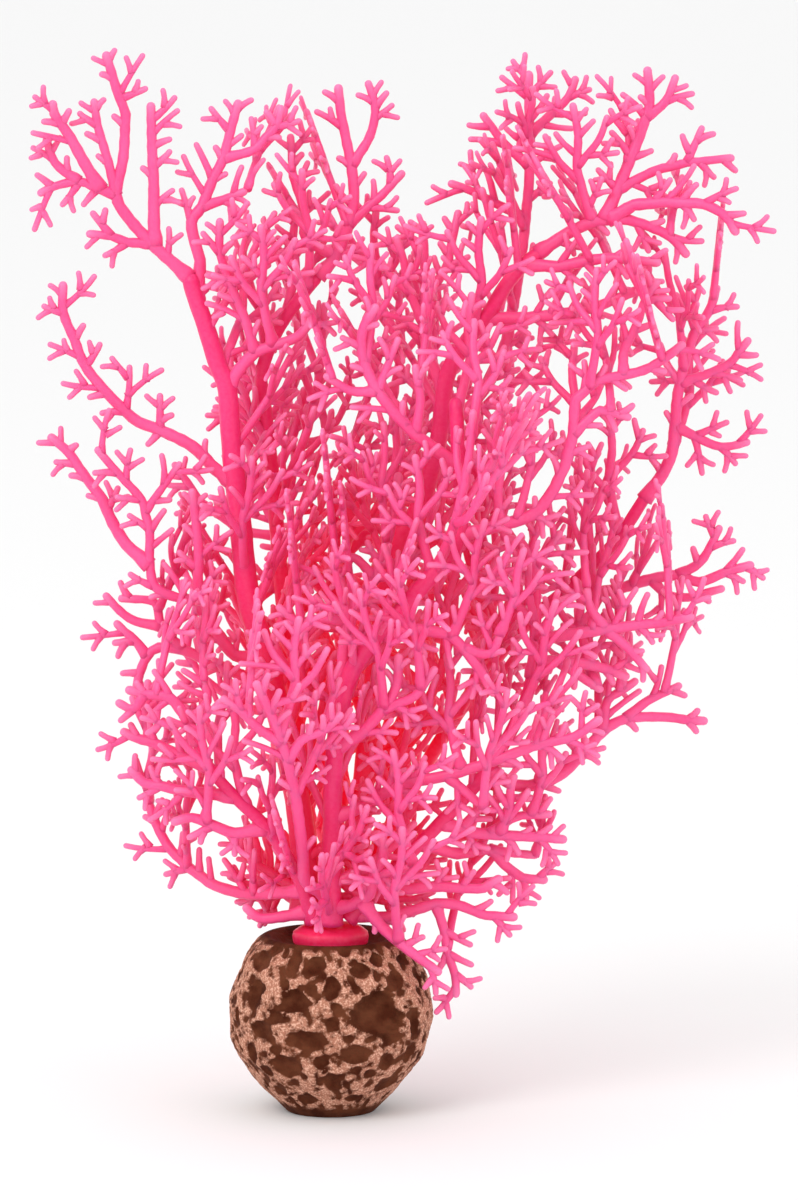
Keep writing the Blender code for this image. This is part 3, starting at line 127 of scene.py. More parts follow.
# Sprays: where the drawing starts, its limbs, and the tips of twigs that show clearly
sprays = [
    dict(name="left_crown_outer", parent="left_stem", limbs=(
        ((-26.3, 157.5), (-33.5, 164), (-38, 169), (-40, 173), (-38.7, 180), (-38.2, 188),
         (-40, 193), (-42, 199.7)),
        ((-40, 173), (-41.5, 179), (-43.5, 186), (-44.2, 191)),
        ((-33.8, 164.3), (-38, 164.2), (-41, 165.3), (-45.8, 165.8)),
        ((-40, 172.5), (-43.5, 174.2), (-47, 175.5), (-52, 174.5), (-54.8, 173)),
        ((-48.5, 175.5), (-51.5, 179), (-53.3, 184))),
        tips=((-34.7, 184), (-34, 193), (-43.2, 195.5), (-39.3, 196.5), (-46.7, 184.3),
              (-47.2, 188.5), (-40.8, 188), (-44.8, 170), (-42, 170.7), (-42.7, 161.5),
              (-46.5, 170.8), (-50.5, 170.8), (-55.3, 177))),
    dict(name="left_crown_middle", parent="left_crown_outer", limbs=(
        ((-32.9, 163.5), (-33, 168), (-33, 175), (-33.3, 182), (-33.5, 190.3)),),
        tips=((-37.5, 174.5), (-35.5, 178.3), (-29.5, 178), (-29.5, 183.5), (-28.7, 191.5))),
    dict(name="left_crown_high", parent="left_crown_outer", lean=-0.15, limbs=(
        ((-43, 174), (-46, 179), (-48.5, 183.5), (-51.5, 188), (-51.8, 190.5)),),
        tips=((-54, 186.5), (-48.5, 189))),
    dict(name="left_crown_right", parent="left_stem", lean=0.1, limbs=(
        ((-25, 152.5), (-23.4, 157.5), (-25, 163), (-26, 168), (-24, 171), (-22, 176), (-20, 180), (-18.7, 185),
         (-17, 191)),
        ((-24, 171), (-20, 172.2), (-15.5, 174)),
        ((-20, 180), (-14.5, 181.5), (-12, 184), (-10, 186), (-9, 190))),
        tips=((-28, 174.5), (-16.5, 169.5), (-25.3, 183), (-5.3, 187.2), (-22.6, 189.7),
              (-12.3, 189))),
    dict(name="left_fork_spray", parent="left_stem", lean=-0.2, limbs=(
        ((-19.4, 137), (-17, 140.5), (-14, 143.5), (-10, 145), (-6, 146.5), (-3, 150)),
        ((-14, 143.5), (-16, 150), (-18.5, 156), (-20.5, 162), (-20.5, 168.5))),
        tips=((-23.5, 158), (-24, 166), (-16, 160))),
    dict(name="left_spray_upper", parent="left_stem", lean=-0.1, limbs=(
        ((-18.3, 119), (-22, 122), (-26, 126), (-32, 129), (-36, 130.5), (-38.5, 132.5),
         (-42, 136), (-46, 141), (-48, 146), (-50, 151), (-50, 156.8)),),
        tips=((-37.7, 141.3), (-46, 149), (-45.7, 135), (-34.7, 126), (-32, 136), (-29.3, 132),
              (-43, 145.5))),
    dict(name="left_fan_tall", parent="left_stem", lean=-0.15, limbs=(
        ((-12.4, 86), (-18, 86.5), (-21, 90), (-24.3, 95), (-25, 100), (-24.8, 106), (-25.3, 112),
         (-26, 118)),
        ((-24.6, 97), (-29, 97.5), (-33, 99.5), (-34, 104), (-34, 110), (-35.5, 116), (-40, 121),
         (-44, 125.7))),
        tips=((-28, 123), (-24.3, 117.2), (-40.5, 116.5))),
    dict(name="left_spike", parent="left_fan_tall", lean=0.2, limbs=(
        ((-34, 103.5), (-38.5, 107.5), (-41, 111.5), (-43, 116), (-46, 120), (-49.5, 125),
         (-53.3, 128.2)),),
        tips=((-49.5, 120.5), (-47.5, 126.5))),
    dict(name="left_fan_low", parent="left_stem", lean=0.1, limbs=(
        ((-10.8, 79.5), (-16, 82.3), (-22, 85), (-28, 87.5), (-32.5, 88), (-34.8, 86.3), (-36.2, 83),
         (-37, 79.5)),
        ((-28.5, 87.7), (-32, 92), (-33.3, 96.5), (-38, 97.2), (-40.3, 97.3)),
        ((-32, 92), (-37, 93), (-40, 95), (-43, 98.3)),
        ((-34.8, 86.3), (-37, 89.3), (-39, 91), (-41, 93))),
        tips=((-40, 100.8), (-43, 94.3), (-41.5, 88.8), (-40.5, 85.8), (-40, 83))),
    dict(name="left_cup_upper", parent="left_low_stem", lean=0.1, limbs=(
        ((-25, 69.5), (-26.5, 74), (-30, 78.5), (-35, 79.3), (-38.5, 80.3)),
        ((-34, 79), (-37, 76.5), (-40.3, 78)),
        ((-26.5, 74), (-23, 78), (-24, 83))),
        tips=((-33.3, 84), (-28, 84), (-39.8, 74))),
    dict(name="left_cup_middle", parent="left_low_stem", lean=0.2, limbs=(
        ((-22.5, 65.5), (-28, 67.5), (-33, 70), (-36.5, 71), (-39.5, 72.5)),),
        tips=((-38.3, 67), (-34, 75), (-30, 64), (-29, 72))),
    dict(name="left_cup_low", parent="left_low_stem", lean=0.15, limbs=(
        ((-18, 60), (-22.5, 60.5), (-27.5, 61), (-32, 62), (-35, 62.5), (-38, 65.5)),),
        tips=((-30.5, 57), (-25, 57), (-36.5, 59.5))),
    dict(name="left_cup_edge", parent="left_low_stem", lean=0.5, limbs=(
        ((-5, 42), (-10, 41.5), (-16, 41.2), (-22, 42.7), (-27, 46), (-31, 50), (-33.7, 55),
         (-35.3, 60)),),
        tips=((-36, 55.8), (-25, 50), (-28.2, 53), (-20.5, 48))),
    dict(name="left_low_spray", parent="left_low_stem", lean=-0.1, limbs=(
        ((-12, 54), (-18, 53), (-22, 54.5), (-26, 56), (-30, 55)),),
        tips=((-27, 52), (-24.5, 50.8), (-18, 48.5))),
    dict(name="rim_sprig", parent="left_low_stem", lean=0.2, limbs=(
        ((-4.2, 38), (-9, 37), (-13.5, 36.7), (-16.5, 39.2)),),
        tips=((-15.9, 31.5), (-11, 40.5))),
    dict(name="front_left_fan", parent="front_stem", lean=-0.3, limbs=(
        ((0.3, 40), (-4.7, 44), (-5.2, 50), (-6.3, 60), (-7.8, 67), (-10, 74), (-13.6, 82)),
        ((-7.8, 67), (-5, 71), (-1, 72.7), (2.5, 76)),
        ((-9, 70.5), (-13, 73), (-16.5, 76.5), (-20, 79))),
        tips=((-17.3, 82.5), (-9, 80.5), (-4, 79), (-7, 76.5), (-11, 83.5))),
    dict(name="front_low_sprig", parent="front_stem", lean=-0.55, limbs=(
        ((0.4, 38.5), (4, 39.3), (7.5, 41.5), (8.2, 45), (10, 48.5), (9.8, 53.3)),
        ((8.2, 45), (12.5, 46), (17.5, 47.3))),
        tips=((15, 50.5), (4, 46), (3.4, 30.5), (13, 42))),
    dict(name="front_cross_branch", parent="front_stem", lean=-0.2, limbs=(
        ((0.5, 56), (5, 57.5), (9, 60), (14, 62.5), (22, 64), (30, 66.5), (38, 69.5), (46, 71.5),
         (51, 75)),
        ((22, 64), (26, 60.5), (30, 57)),
        ((30, 66.5), (34, 72), (36, 78))),
        tips=((42, 75.5), (44, 67), (12, 67), (16, 57))),
    dict(name="front_vertical_branch", parent="front_stem", lean=0.1, limbs=(
        ((2.5, 78.5), (2.5, 87), (3.5, 93), (6, 97.5), (8.5, 101), (10.5, 107), (12, 113),
         (13, 121)),
        ((3.2, 92), (-2, 93.5), (-6, 93), (-10, 96)),
        ((8.5, 101), (4.5, 105), (0.5, 104)),
        ((9.5, 104), (14, 104), (17, 107))),
        tips=((-3, 98), (-1.5, 89))),
    dict(name="front_middle_spray", parent="front_stem", lean=-0.35, limbs=(
        ((1, 69), (6, 72), (10, 76.5), (12.5, 81), (13, 87)),
        ((10, 76.5), (16, 79), (20, 84.5))),
        tips=((4, 79), (8.5, 81), (13, 72), (17, 74.5))),
    dict(name="front_arm", parent="front_stem", lean=-0.15, limbs=(
        ((10, 90.5), (16, 91.5), (22, 90.5), (25, 88), (28, 84), (31, 79)),
        ((25.5, 87.5), (30, 87), (32.5, 92))),
        tips=((28, 88.5), (33, 87.5), (18, 86), (23, 84))),
    dict(name="arched_spray", parent="front_stem", lean=-0.15, limbs=(
        ((24.2, 122), (20, 125), (16, 128), (12, 132), (9, 136), (7, 140), (6, 144), (6.5, 148),
         (9, 152)),
        ((9, 136), (4, 136), (-1, 139)),
        ((16, 128), (17, 134), (16, 141))),
        tips=((2, 146), (13, 146))),
    dict(name="low_right_arm", parent="low_right_stem", lean=-0.1, limbs=(
        ((4.5, 37.5), (10, 36.8), (15, 38), (20, 39.5), (24, 39.3), (29.5, 37.3), (35.5, 37)),
        ((20, 39.5), (21.5, 34.5), (22.2, 30), (23.6, 26), (23.8, 21.6))),
        tips=((34.3, 33.2), (30.8, 40.3), (27, 31.5), (27.2, 27.7), (27, 23.3), (20.4, 26.7))),
    dict(name="droop_over_ball", parent="front_low_sprig", lean=-0.1, limbs=(
        ((6, 40.2), (9.5, 35.5), (14, 31.5), (18, 28.5), (21, 26.3)),),
        tips=((12, 29.5), (18, 33.5))),
    dict(name="low_right_mid", parent="low_right_stem", lean=-0.15, limbs=(
        ((9, 43), (15, 42.3), (20, 42.8), (25, 42.5), (29, 42.5), (32.5, 44.7)),),
        tips=((22.3, 46.5), (27.5, 46), (33.8, 41.3), (16, 46.5))),
    dict(name="low_right_far", parent="low_right_stem", lean=0.2, limbs=(
        ((17, 51), (24, 49), (30, 49.7), (33, 46.8), (36.5, 44.3), (41.3, 43.8)),
        ((30.5, 49.5), (35, 49), (39.5, 48.5))),
        tips=((37.2, 39.7), (43.2, 47.4), (24, 53.5))),
    dict(name="low_right_side", parent="low_right_stem", lean=-0.05, limbs=(
        ((21, 55), (27, 53), (33, 52.5), (39, 52.2), (44.8, 51.7)),
        ((30, 52.8), (35, 56), (42, 56.6)),
        ((25, 53.7), (30, 59), (38.5, 59.6))),
        tips=((42, 54.5), (28, 57))),
    dict(name="right_low_edge", parent="low_right_stem", lean=0.1, limbs=(
        ((30, 65), (35, 62), (40, 62.3), (44, 64.3), (48, 68), (51.5, 72), (56, 74.5), (63.3, 74.8),
         (68, 74.2), (71.7, 74)),
        ((52.3, 72.5), (52.5, 78), (55.5, 80), (58.3, 82)),
        ((56, 74.5), (60, 77.8), (66.7, 81))),
        tips=((69.8, 71.6), (48.7, 78.2), (46, 71.5))),
    dict(name="right_shelf", parent="low_right_stem", limbs=(
        ((38.5, 89.5), (45, 90.5), (52, 91.5), (58, 92.3), (63, 92.8), (68.6, 94)),
        ((52, 91.5), (56, 88), (60, 83.5)),
        ((51.5, 91.4), (49, 95.5), (48.3, 99.5))),
        tips=((61, 88.6), (60, 98.5))),
    dict(name="right_shelf_low", parent="low_right_stem", lean=0.15, limbs=(
        ((38.5, 85), (43, 85.5), (47.5, 85), (52, 84), (56.5, 82.3)),
        ((44.5, 85.3), (48.5, 81.7), (51.5, 79.8))),
        tips=((46, 80),)),
    dict(name="studded_top", parent="low_right_stem", lean=-0.1, limbs=(
        ((38.5, 100), (38.5, 103.5), (36, 107.5), (32, 109)),
        ((38.5, 103.5), (41, 106.5), (43.5, 110))),
        tips=((34.5, 103), (42.8, 102.5))),
    dict(name="right_mid_spray", parent="right_back_stem", lean=-0.15, limbs=(
        ((46, 100), (51, 98.5), (56, 99.5), (61, 101), (66, 101.7), (70, 100.4), (75, 102.3),
         (80.4, 103.8)),
        ((66, 101.7), (70, 104), (72, 107), (74, 111.2)),
        ((61.5, 101), (64, 98), (68, 97.5), (74.9, 99.3))),
        tips=((68.7, 107.3), (77, 108.3), (78.5, 107), (78.8, 100.3), (72.3, 96.4))),
    dict(name="right_edge_spray", parent="right_back_stem", lean=-0.1, limbs=(
        ((59.5, 116), (63, 121), (64.7, 125), (65.2, 130), (65.7, 136), (67, 142), (69, 148),
         (71.5, 151.5), (73, 156.5)),
        ((67, 137.8), (72, 140), (75.5, 141.7), (79.3, 146.5)),
        ((65.2, 129.7), (69, 128), (74, 126), (79.5, 127))),
        tips=((81, 143.3), (78, 138.3), (77.3, 152.3), (65, 155), (75.5, 130.8), (73.5, 136),
              (77, 122.4), (70.5, 120.5), (60.5, 124))),
    dict(name="front_right_branch", parent="front_stem", lean=0.05, limbs=(
        ((24, 109), (32, 111), (38, 113), (41.5, 117), (44, 122), (45.5, 128), (46, 134.5),
         (50, 138), (55, 139), (60, 140.5), (66.5, 145)),
        ((45.6, 129.5), (50.5, 132.5), (56.5, 131)),
        ((54, 138.8), (55, 143.5), (57, 147.5), (59, 153), (61.5, 156.8)),
        ((32, 111), (31.5, 117), (32.5, 124), (33.5, 130))),
        tips=((64, 153.3), (64.5, 149), (53.7, 128.3), (49, 126), (47.5, 142))),
    dict(name="right_leaf", parent="right_stem", lean=-0.1, limbs=(
        ((29, 150), (37, 150), (44, 150.8), (50, 152), (55, 154), (62, 156.8)),),
        tips=((50, 156.8), (42, 146.5), (47, 147))),
    dict(name="right_crown", parent="right_stem", lean=-0.05, limbs=(
        ((38.8, 162), (45, 166), (50, 168), (56, 168.3), (60, 167), (64, 165), (67.3, 161.3)),),
        tips=((70.3, 164.3), (48, 163), (60, 162))),
    dict(name="right_crown_top", parent="right_crown", lean=-0.2, limbs=(
        ((52, 168.2), (57, 171), (63, 171.5), (70, 171), (74, 168.8), (76.3, 165.2)),),
        tips=((76.5, 174), (78, 169.3), (69, 175), (64, 176))),
    dict(name="right_crown_low", parent="right_stem", lean=-0.3, limbs=(
        ((36.4, 160), (43, 159.5), (48, 160.5), (53, 161), (57, 160.5), (62, 160)),),
        tips=((56, 157), (51, 156.8), (47, 165))),
    dict(name="tall_branch", parent="right_stem", lean=0.15, limbs=(
        ((20.8, 129), (26, 133), (30.5, 139), (33.3, 146), (35, 155), (36.5, 165), (37.5, 175),
         (37.8, 183), (37.5, 190), (37.5, 197)),
        ((36.9, 169), (31, 172), (26, 174.5), (22.2, 175.8)),
        ((37.7, 185), (42, 189), (45, 192), (46.5, 196)),
        ((37.6, 179), (33, 183), (28.5, 189))),
        tips=((32, 196), (42, 197), (48.7, 189), (26, 184), (29, 179), (44, 183), (42, 176))),
    dict(name="upper_right_fan", parent="right_crown", lean=0.1, limbs=(
        ((51.5, 168.2), (54, 174), (56.5, 180), (58.5, 185), (60, 190), (59.5, 197)),
        ((54.5, 175.2), (61, 177.5), (67, 179), (76, 180)),
        ((59.3, 187.5), (63, 190.5), (65, 195.5))),
        tips=((68.5, 192), (70, 186), (54.5, 192), (72.5, 184.5), (66, 184.5), (72.5, 176),
              (50, 178), (52.5, 185))),
    dict(name="centre_top_fan", parent="back_stem", lean=0.05, limbs=(
        ((-2.3, 158), (1, 162), (3.5, 168), (4.5, 173), (4, 179), (3, 184), (2, 189), (1.5, 194.3)),
        ((3.8, 169.5), (9.8, 173.5), (14, 178)),
        ((4, 179), (7.5, 184.5), (8.5, 190), (7, 195)),
        ((0, 160.8), (-4.5, 165), (-5, 171), (-7, 177), (-7.5, 185))),
        tips=((-3, 189.3), (-1.5, 193), (11, 193), (10.5, 181), (13.2, 170.5), (8, 163))),
    dict(name="middle_fan", parent="right_stem", lean=0.2, limbs=(
        ((21.8, 136), (18.5, 143), (17.5, 150), (18, 157), (17.4, 168.7)),
        ((17.7, 153), (22, 160), (24.3, 170.7))),
        tips=((12.3, 167.8), (14, 160), (21.3, 169.5), (26.5, 162), (12, 151))),
]

# A fan drawn once, from its base, for the inside, sides and back of the bush
plainFanLimbs = (
    ((0, 0), (5, 5), (10, 12), (14, 21), (16, 31), (16, 42)),
    ((9.5, 11), (17, 13), (24, 18), (29, 25)),
    ((14, 21), (8, 28), (5, 38)),
)

# Its copies: name, parent, base, turn from facing the front, lean, and size
plainFans = (
    ("rear_fan_left", "rear_stem", (1.8, 62), 150, 0.2, 1.1),
    ("rear_fan_right", "rear_stem", (1.6, 58), 30, -0.1, 1.1),
    ("rear_fan_high_left", "rear_stem", (1.4, 96), 165, 0.1, 1.1),
    ("rear_fan_high_right", "rear_stem", (1, 104), 15, 0.0, 1.2),
    ("back_fan_right", "back_stem", (-10.6, 116), 60, 0.1, 0.9),
    ("front_upper_fan", "front_stem", (20, 103), -70, 0.1, 0.7),
    ("right_back_fan", "right_back_stem", (24, 75), 50, 0.1, 1.0),
    ("inner_fan_low", "right_stem", (6.2, 62), 20, 0.3, 1.0),
)


def place(across, depth, height):
    # rise = (height - depth sin tilt) / cos tilt, so that a point looks as high as it was drawn
    rise = (height - depth * math.sin(drawing["tilt"])) / math.cos(drawing["tilt"])
    return np.stack(np.broadcast_arrays(across, depth, rise), axis=-1).astype(float)


def nearest(points, starts, ends):
    # distance of every point from every segment, and the share of the segment where it is closest
    along = ends - starts
    reach = ((points[:, None] - starts) * along).sum(-1)
    share = np.clip(reach / np.maximum((along**2).sum(-1), 1e-9), 0, 1)
    off = points[:, None] - starts - share[..., None] * along
    return np.linalg.norm(off, axis=-1), share


def runsAlong(points):
    # the distance along a route to each of its points
    return np.append(0, np.cumsum(np.linalg.norm(np.diff(points, axis=0), axis=1)))


class Thicket:
    # every bar placed so far, as a segment with a half width

    def __init__(self):
        self.starts = np.empty((0, 3))
        self.ends = np.empty((0, 3))
        self.halves = np.empty(0)
        self.owners = np.empty(0, int)

    def add(self, starts, ends, halves, owner):
        self.starts = np.vstack([self.starts, starts])
        self.ends = np.vstack([self.ends, ends])
        self.halves = np.append(self.halves, halves)
        self.owners = np.append(self.owners, np.full(len(starts), owner))

    def room(self, points, half, skip):
        # least air between the points, thickened by half, and the bars of owners not skipped
        if not len(points):
            return 99.0
        kept = ~np.isin(self.owners, skip)
        low, high = points.min(0) - growth["search"], points.max(0) + growth["search"]
        over = np.maximum(self.starts, self.ends) > low
        under = np.minimum(self.starts, self.ends) < high
        kept &= over.all(1) & under.all(1)
        if not kept.any():
            return 99.0
        far, _ = nearest(points, self.starts[kept], self.ends[kept])
        return float((far - self.halves[kept]).min() - half)


class Branches:
    # a flat branching drawing: each node has a parent, and half widths for the bar that joins them

    def __init__(self, root, half):
        self.at = [np.array(root, float)]
        self.parent = [-1]
        self.start = [half]
        self.end = [half]
        self.limb = [0]

    def add(self, at, parent, start, end, limb):
        self.at.append(np.array(at, float))
        self.parent.append(parent)
        self.start.append(start)
        self.end.append(end)
        self.limb.append(limb)
        return len(self.at) - 1

    def bars(self):
        # the starts, ends, half widths and limbs of all bars, and the node that each leads to
        nodes = np.array([n for n, parent in enumerate(self.parent) if parent >= 0], int)
        at = np.array(self.at)
        halves = np.maximum(self.start, self.end)[nodes]
        return at[np.array(self.parent)[nodes]], at[nodes], halves, np.array(self.limb)[nodes], nodes

    def isTip(self, node):
        # whether no bar leaves the node
        return node not in self.parent

    def nodesOf(self, limb):
        # the limb's nodes, but for the root
        return [n for n, owner in enumerate(self.limb) if owner == limb and self.parent[n] >= 0]

    def tipOf(self, limb):
        # the node of a limb that none of its others grows from
        nodes = self.nodesOf(limb)
        return next(n for n in nodes if all(self.parent[m] != n for m in nodes))

    def joint(self, node, share):
        # where a share of the bar that leads to this node lies, and the node there if one is near
        parent = self.parent[node]
        length = np.linalg.norm(self.at[node] - self.at[parent])
        if share * length < growth["near"] and parent > 0:
            return self.at[parent], parent
        if (1 - share) * length < growth["near"] and not self.isTip(node):
            return self.at[node], node
        return self.at[parent] + share * (self.at[node] - self.at[parent]), None

    def split(self, node, share):
        # the node at a share of the bar that leads to this node, new if none is near
        at, found = self.joint(node, share)
        if found is not None:
            return found
        half = self.start[node] + share * (self.end[node] - self.start[node])
        middle = self.add(at, self.parent[node], self.start[node], half, self.limb[node])
        self.parent[node] = middle
        self.start[node] = half
        return middle

    def waysFrom(self, node, share):
        # the directions of the bars that meet at this joint
        at, found = self.joint(node, share)
        if found is None:
            ends = [self.at[node], self.at[self.parent[node]]]
        else:
            ends = [self.at[n] for n, parent in enumerate(self.parent) if parent == found]
            ends.append(self.at[self.parent[found]])
        ways = np.array(ends) - at
        return ways / np.linalg.norm(ways, axis=1)[:, None]

    def addLimb(self, route, halves, parent, limb):
        # bars along a route, tapering from the first half width to the last
        widths = np.linspace(halves[0], halves[1], len(route) + 1)
        for at, start, end in zip(route, widths, widths[1:]):
            parent = self.add(at, parent, start, end, limb)
        return parent

    def path(self, tip):
        # the nodes of a limb, from where it leaves its parent to its tip
        nodes = [tip]
        while self.parent[nodes[-1]] >= 0 and self.limb[nodes[-1]] == self.limb[tip]:
            nodes.append(self.parent[nodes[-1]])
        return nodes[::-1]


def stepsAlong(start, end, first, spacing=0.9):
    # points on a line from a first distance to its end
    length = np.linalg.norm(end - start)
    count = max(int((length - first) / spacing) + 1, 2)
    shares = np.linspace(min(first / length, 1), 1, count)
    return start + shares[:, None] * (end - start)


def onSheet(spray, flat, off=0.0):
    # points drawn flat on a spray, once its sheet is turned and bent, in millimetres in space
    across, depth, height = spray["base"]
    turn = math.radians(spray.get("turn", 0))
    run = flat[:, 0] - across
    rise = flat[:, 1] - height
    away = np.hypot(run, rise)
    bend = spray["lean"] * away + off
    return place(
        across + run * math.cos(turn) - bend * math.sin(turn),
        depth + run * math.sin(turn) + bend * math.cos(turn),
        height + rise,
    )


def baseOnParent(spray, thicket):
    # the point of the parent's bars that lies behind the first point of the spray's drawing
    owned = thicket.owners == spray["parentNumber"]
    starts = thicket.starts[owned]
    ends = thicket.ends[owned]
    tipUp = np.array([[1, 0], [0, math.sin(drawing["tilt"])], [0, math.cos(drawing["tilt"])]])
    first = np.array(spray["limbs"][0][0], float)
    far, share = nearest(first[None], starts @ tipUp, ends @ tipUp)
    closest = far[0].argmin()
    point = starts[closest] + share[0, closest] * (ends[closest] - starts[closest])
    return first[0], point[1], first[1]


def trimmed(spray, route, half, thicket):
    # the route from where its cut end clears the parent by the gap
    owned = thicket.owners == spray["parentNumber"]
    starts, ends, halves = thicket.starts[owned], thicket.ends[owned], thicket.halves[owned]
    lengths = np.linalg.norm(np.diff(route, axis=0), axis=1)
    for run in np.arange(0, 12, 0.1):
        piece = int(np.searchsorted(np.cumsum(lengths), run))
        before = lengths[:piece].sum()
        along = (route[piece + 1] - route[piece]) / lengths[piece]
        at = route[piece] + (run - before) * along
        point, ahead = onSheet(spray, np.array([at, at + 0.1 * along]))
        far, share = nearest(point[None], starts, ends)
        closest = (far[0] - halves).argmin()
        foot = starts[closest] + share[0, closest] * (ends[closest] - starts[closest])
        out = (point - foot) / max(far[0, closest], 1e-6)
        slope = float(np.dot(out, (ahead - point) / np.linalg.norm(ahead - point)))
        reach = halves[closest] + drawing["gap"] + half * growth["stout"] * math.sqrt(max(1 - slope**2, 0))
        if far[0, closest] >= reach:
            return np.vstack([at, route[piece + 1 :]])
    return route


def limbsOf(spray, thicket):
    # the spray's limbs as branches, from its trimmed start
    first = trimmed(spray, np.array(spray["limbs"][0], float), growth["limbHalf"][0], thicket)
    branches = Branches(first[0], growth["limbHalf"][0])
    tips = [branches.addLimb(first[1:], growth["limbHalf"], 0, 0)]
    for number, limb in enumerate(spray["limbs"][1:], 1):
        route = np.array(limb, float)
        starts, ends, _, _, nodes = branches.bars()
        far, share = nearest(route[:1], starts, ends)
        closest = far[0].argmin()
        joint = branches.split(nodes[closest], share[0, closest])
        if np.linalg.norm(route[0] - branches.at[joint]) < 2.0:
            route = route[1:]
        tips.append(branches.addLimb(route, growth["sideLimbHalf"], joint, number))
    return branches, tips


def spareRoom(spray, branches, thicket):
    # the least air round a spray's limbs, leaving out where it starts on its parent
    starts, ends, halves, _, _ = branches.bars()
    least = 99.0
    for start, end, half in zip(starts, ends, halves):
        points = stepsAlong(start, end, 0.0)
        nearRoot = np.linalg.norm(points - branches.at[0], axis=1) < 5
        own = spray["number"]
        clear = onSheet(spray, points[~nearRoot])
        close = onSheet(spray, points[nearRoot])
        least = min(least, thicket.room(clear, half * growth["stout"], [own]))
        least = min(least, thicket.room(close, half * growth["stout"], [own, spray["parentNumber"]]))
    return least


def register(spray, starts, ends, halves, thicket):
    # notes bars of a spray as taken, at the stout half width that twigs keep off
    thicket.add(
        onSheet(spray, np.atleast_2d(starts)),
        onSheet(spray, np.atleast_2d(ends)),
        np.atleast_1d(halves) * growth["stout"],
        spray["number"],
    )


def layLimbs(spray, thicket):
    # lays the limbs, leaning the sheet by the least that keeps them clear of what stands there
    spray["base"] = baseOnParent(spray, thicket)
    wanted = spray.get("lean", 0.0)
    best = None
    for change in growth["leans"]:
        spray["lean"] = wanted + change
        branches, tips = limbsOf(spray, thicket)
        room = spareRoom(spray, branches, thicket)
        if best is None or room > best[0]:
            best = (room, spray["lean"])
        if room >= drawing["gap"]:
            break
    spray["lean"] = best[1]
    branches, tips = limbsOf(spray, thicket)
    spray["branches"], spray["limbTips"] = branches, tips
    starts, ends, halves, _, _ = branches.bars()
    register(spray, starts, ends, halves, thicket)
    if best[0] < drawing["gap"]:
        print(spray["name"], "has too little room:", round(best[0], 2))


def twigFits(spray, node, share, tip, thicket):
    # whether a twig from a joint keeps clear of its own spray and of every other piece
    branches = spray["branches"]
    start, found = branches.joint(node, share)
    length = np.linalg.norm(tip - start)
    if length < growth["shortestTwig"] or np.linalg.norm(start - branches.at[0]) < growth["near"]:
        return False
    if (branches.waysFrom(node, share) @ (tip - start) / length).max() > growth["closestWays"]:
        return False
    starts, ends, halves, limbs, nodes = branches.bars()
    parents = np.array(branches.parent)[nodes]
    others = (limbs != branches.limb[node]) & (parents != (-1 if found is None else found))
    for first, kept in ((1.6, others), (3.3, np.ones(len(limbs), bool))):
        points = stepsAlong(start, tip, first)
        far, _ = nearest(points, starts[kept], ends[kept])
        if kept.any() and (far - halves[kept]).min() < growth["twigHalf"][0] + drawing["gap"]:
            return False
    points = onSheet(spray, stepsAlong(start, tip, 0.8))
    stoutHalf = growth["twigHalf"][0] * growth["stout"] + drawing["safe"]
    return thicket.room(points, stoutHalf, [spray["number"]]) >= drawing["gap"]


def addTwig(spray, node, share, tip, thicket):
    # a twig from a joint to a tip, if it fits
    if not twigFits(spray, node, share, tip, thicket):
        return False
    branches = spray["branches"]
    joint = branches.split(node, share)
    branches.add(tip, joint, *growth["twigHalf"], max(branches.limb) + 1)
    register(spray, branches.at[joint], tip, growth["twigHalf"][0], thicket)
    return True


def twigTo(spray, tip, thicket):
    # a twig to a drawn tip, from the bar that it would leave at the most natural angle
    branches = spray["branches"]
    joints = []
    for node, parent in enumerate(branches.parent):
        if parent < 0:
            continue
        along = branches.at[node] - branches.at[parent]
        last = 0.6 if branches.isTip(node) else 0.95
        for share in np.linspace(0.05, last, 6):
            out = tip - branches.at[parent] - share * along
            length = np.linalg.norm(out)
            lean = math.acos(np.clip(np.dot(out, along) / length / np.linalg.norm(along), -1, 1))
            joints.append((length * (1 + 2 * abs(lean - growth["twigAngle"])), node, share))
    for _, node, share in sorted(joints)[:6]:
        if addTwig(spray, node, share, tip, thicket):
            return


def sprout(spray, limbTip, thicket):
    # twigs along a limb by rule, on alternate sides and shorter towards its tip
    branches = spray["branches"]
    limb = branches.limb[limbTip]
    route = np.array([branches.at[node] for node in branches.path(limbTip)])
    lengths = np.linalg.norm(np.diff(route, axis=0), axis=1)
    total = lengths.sum()
    side = 1 if limb % 2 else -1
    for run in np.arange(growth["twigSpacing"], total - 1.5, growth["twigSpacing"]):
        piece = min(int(np.searchsorted(np.cumsum(lengths), run)), len(lengths) - 1)
        along = (route[piece + 1] - route[piece]) / lengths[piece]
        angle = math.atan2(along[1], along[0]) + side * growth["twigAngle"]
        out = np.array([math.cos(angle), math.sin(angle)])
        at = route[piece] + (run - lengths[:piece].sum()) * along
        starts, ends, _, limbs, nodes = branches.bars()
        far, shares = nearest(at[None], starts[limbs == limb], ends[limbs == limb])
        closest = far[0].argmin()
        node, share = nodes[limbs == limb][closest], shares[0, closest]
        jointAt, _ = branches.joint(node, share)
        swing = 1 + 0.25 * math.sin(2.4 * run + spray["number"])
        reach = growth["twigLength"] * swing * (1 - 0.3 * run / total)
        for length in (reach, 0.7 * reach):
            if addTwig(spray, node, share, jointAt + length * out, thicket):
                break
        side = -side


def registerStem(number, first, last, route, thicket):
    # the stem's bars, each as thick as its lower end: the radius falls evenly from first to last
    points = place(*np.array(route, float).T)
    radii = np.linspace(first, last, len(route))
    thicket.add(points[:-1], points[1:], radii[:-1], number)


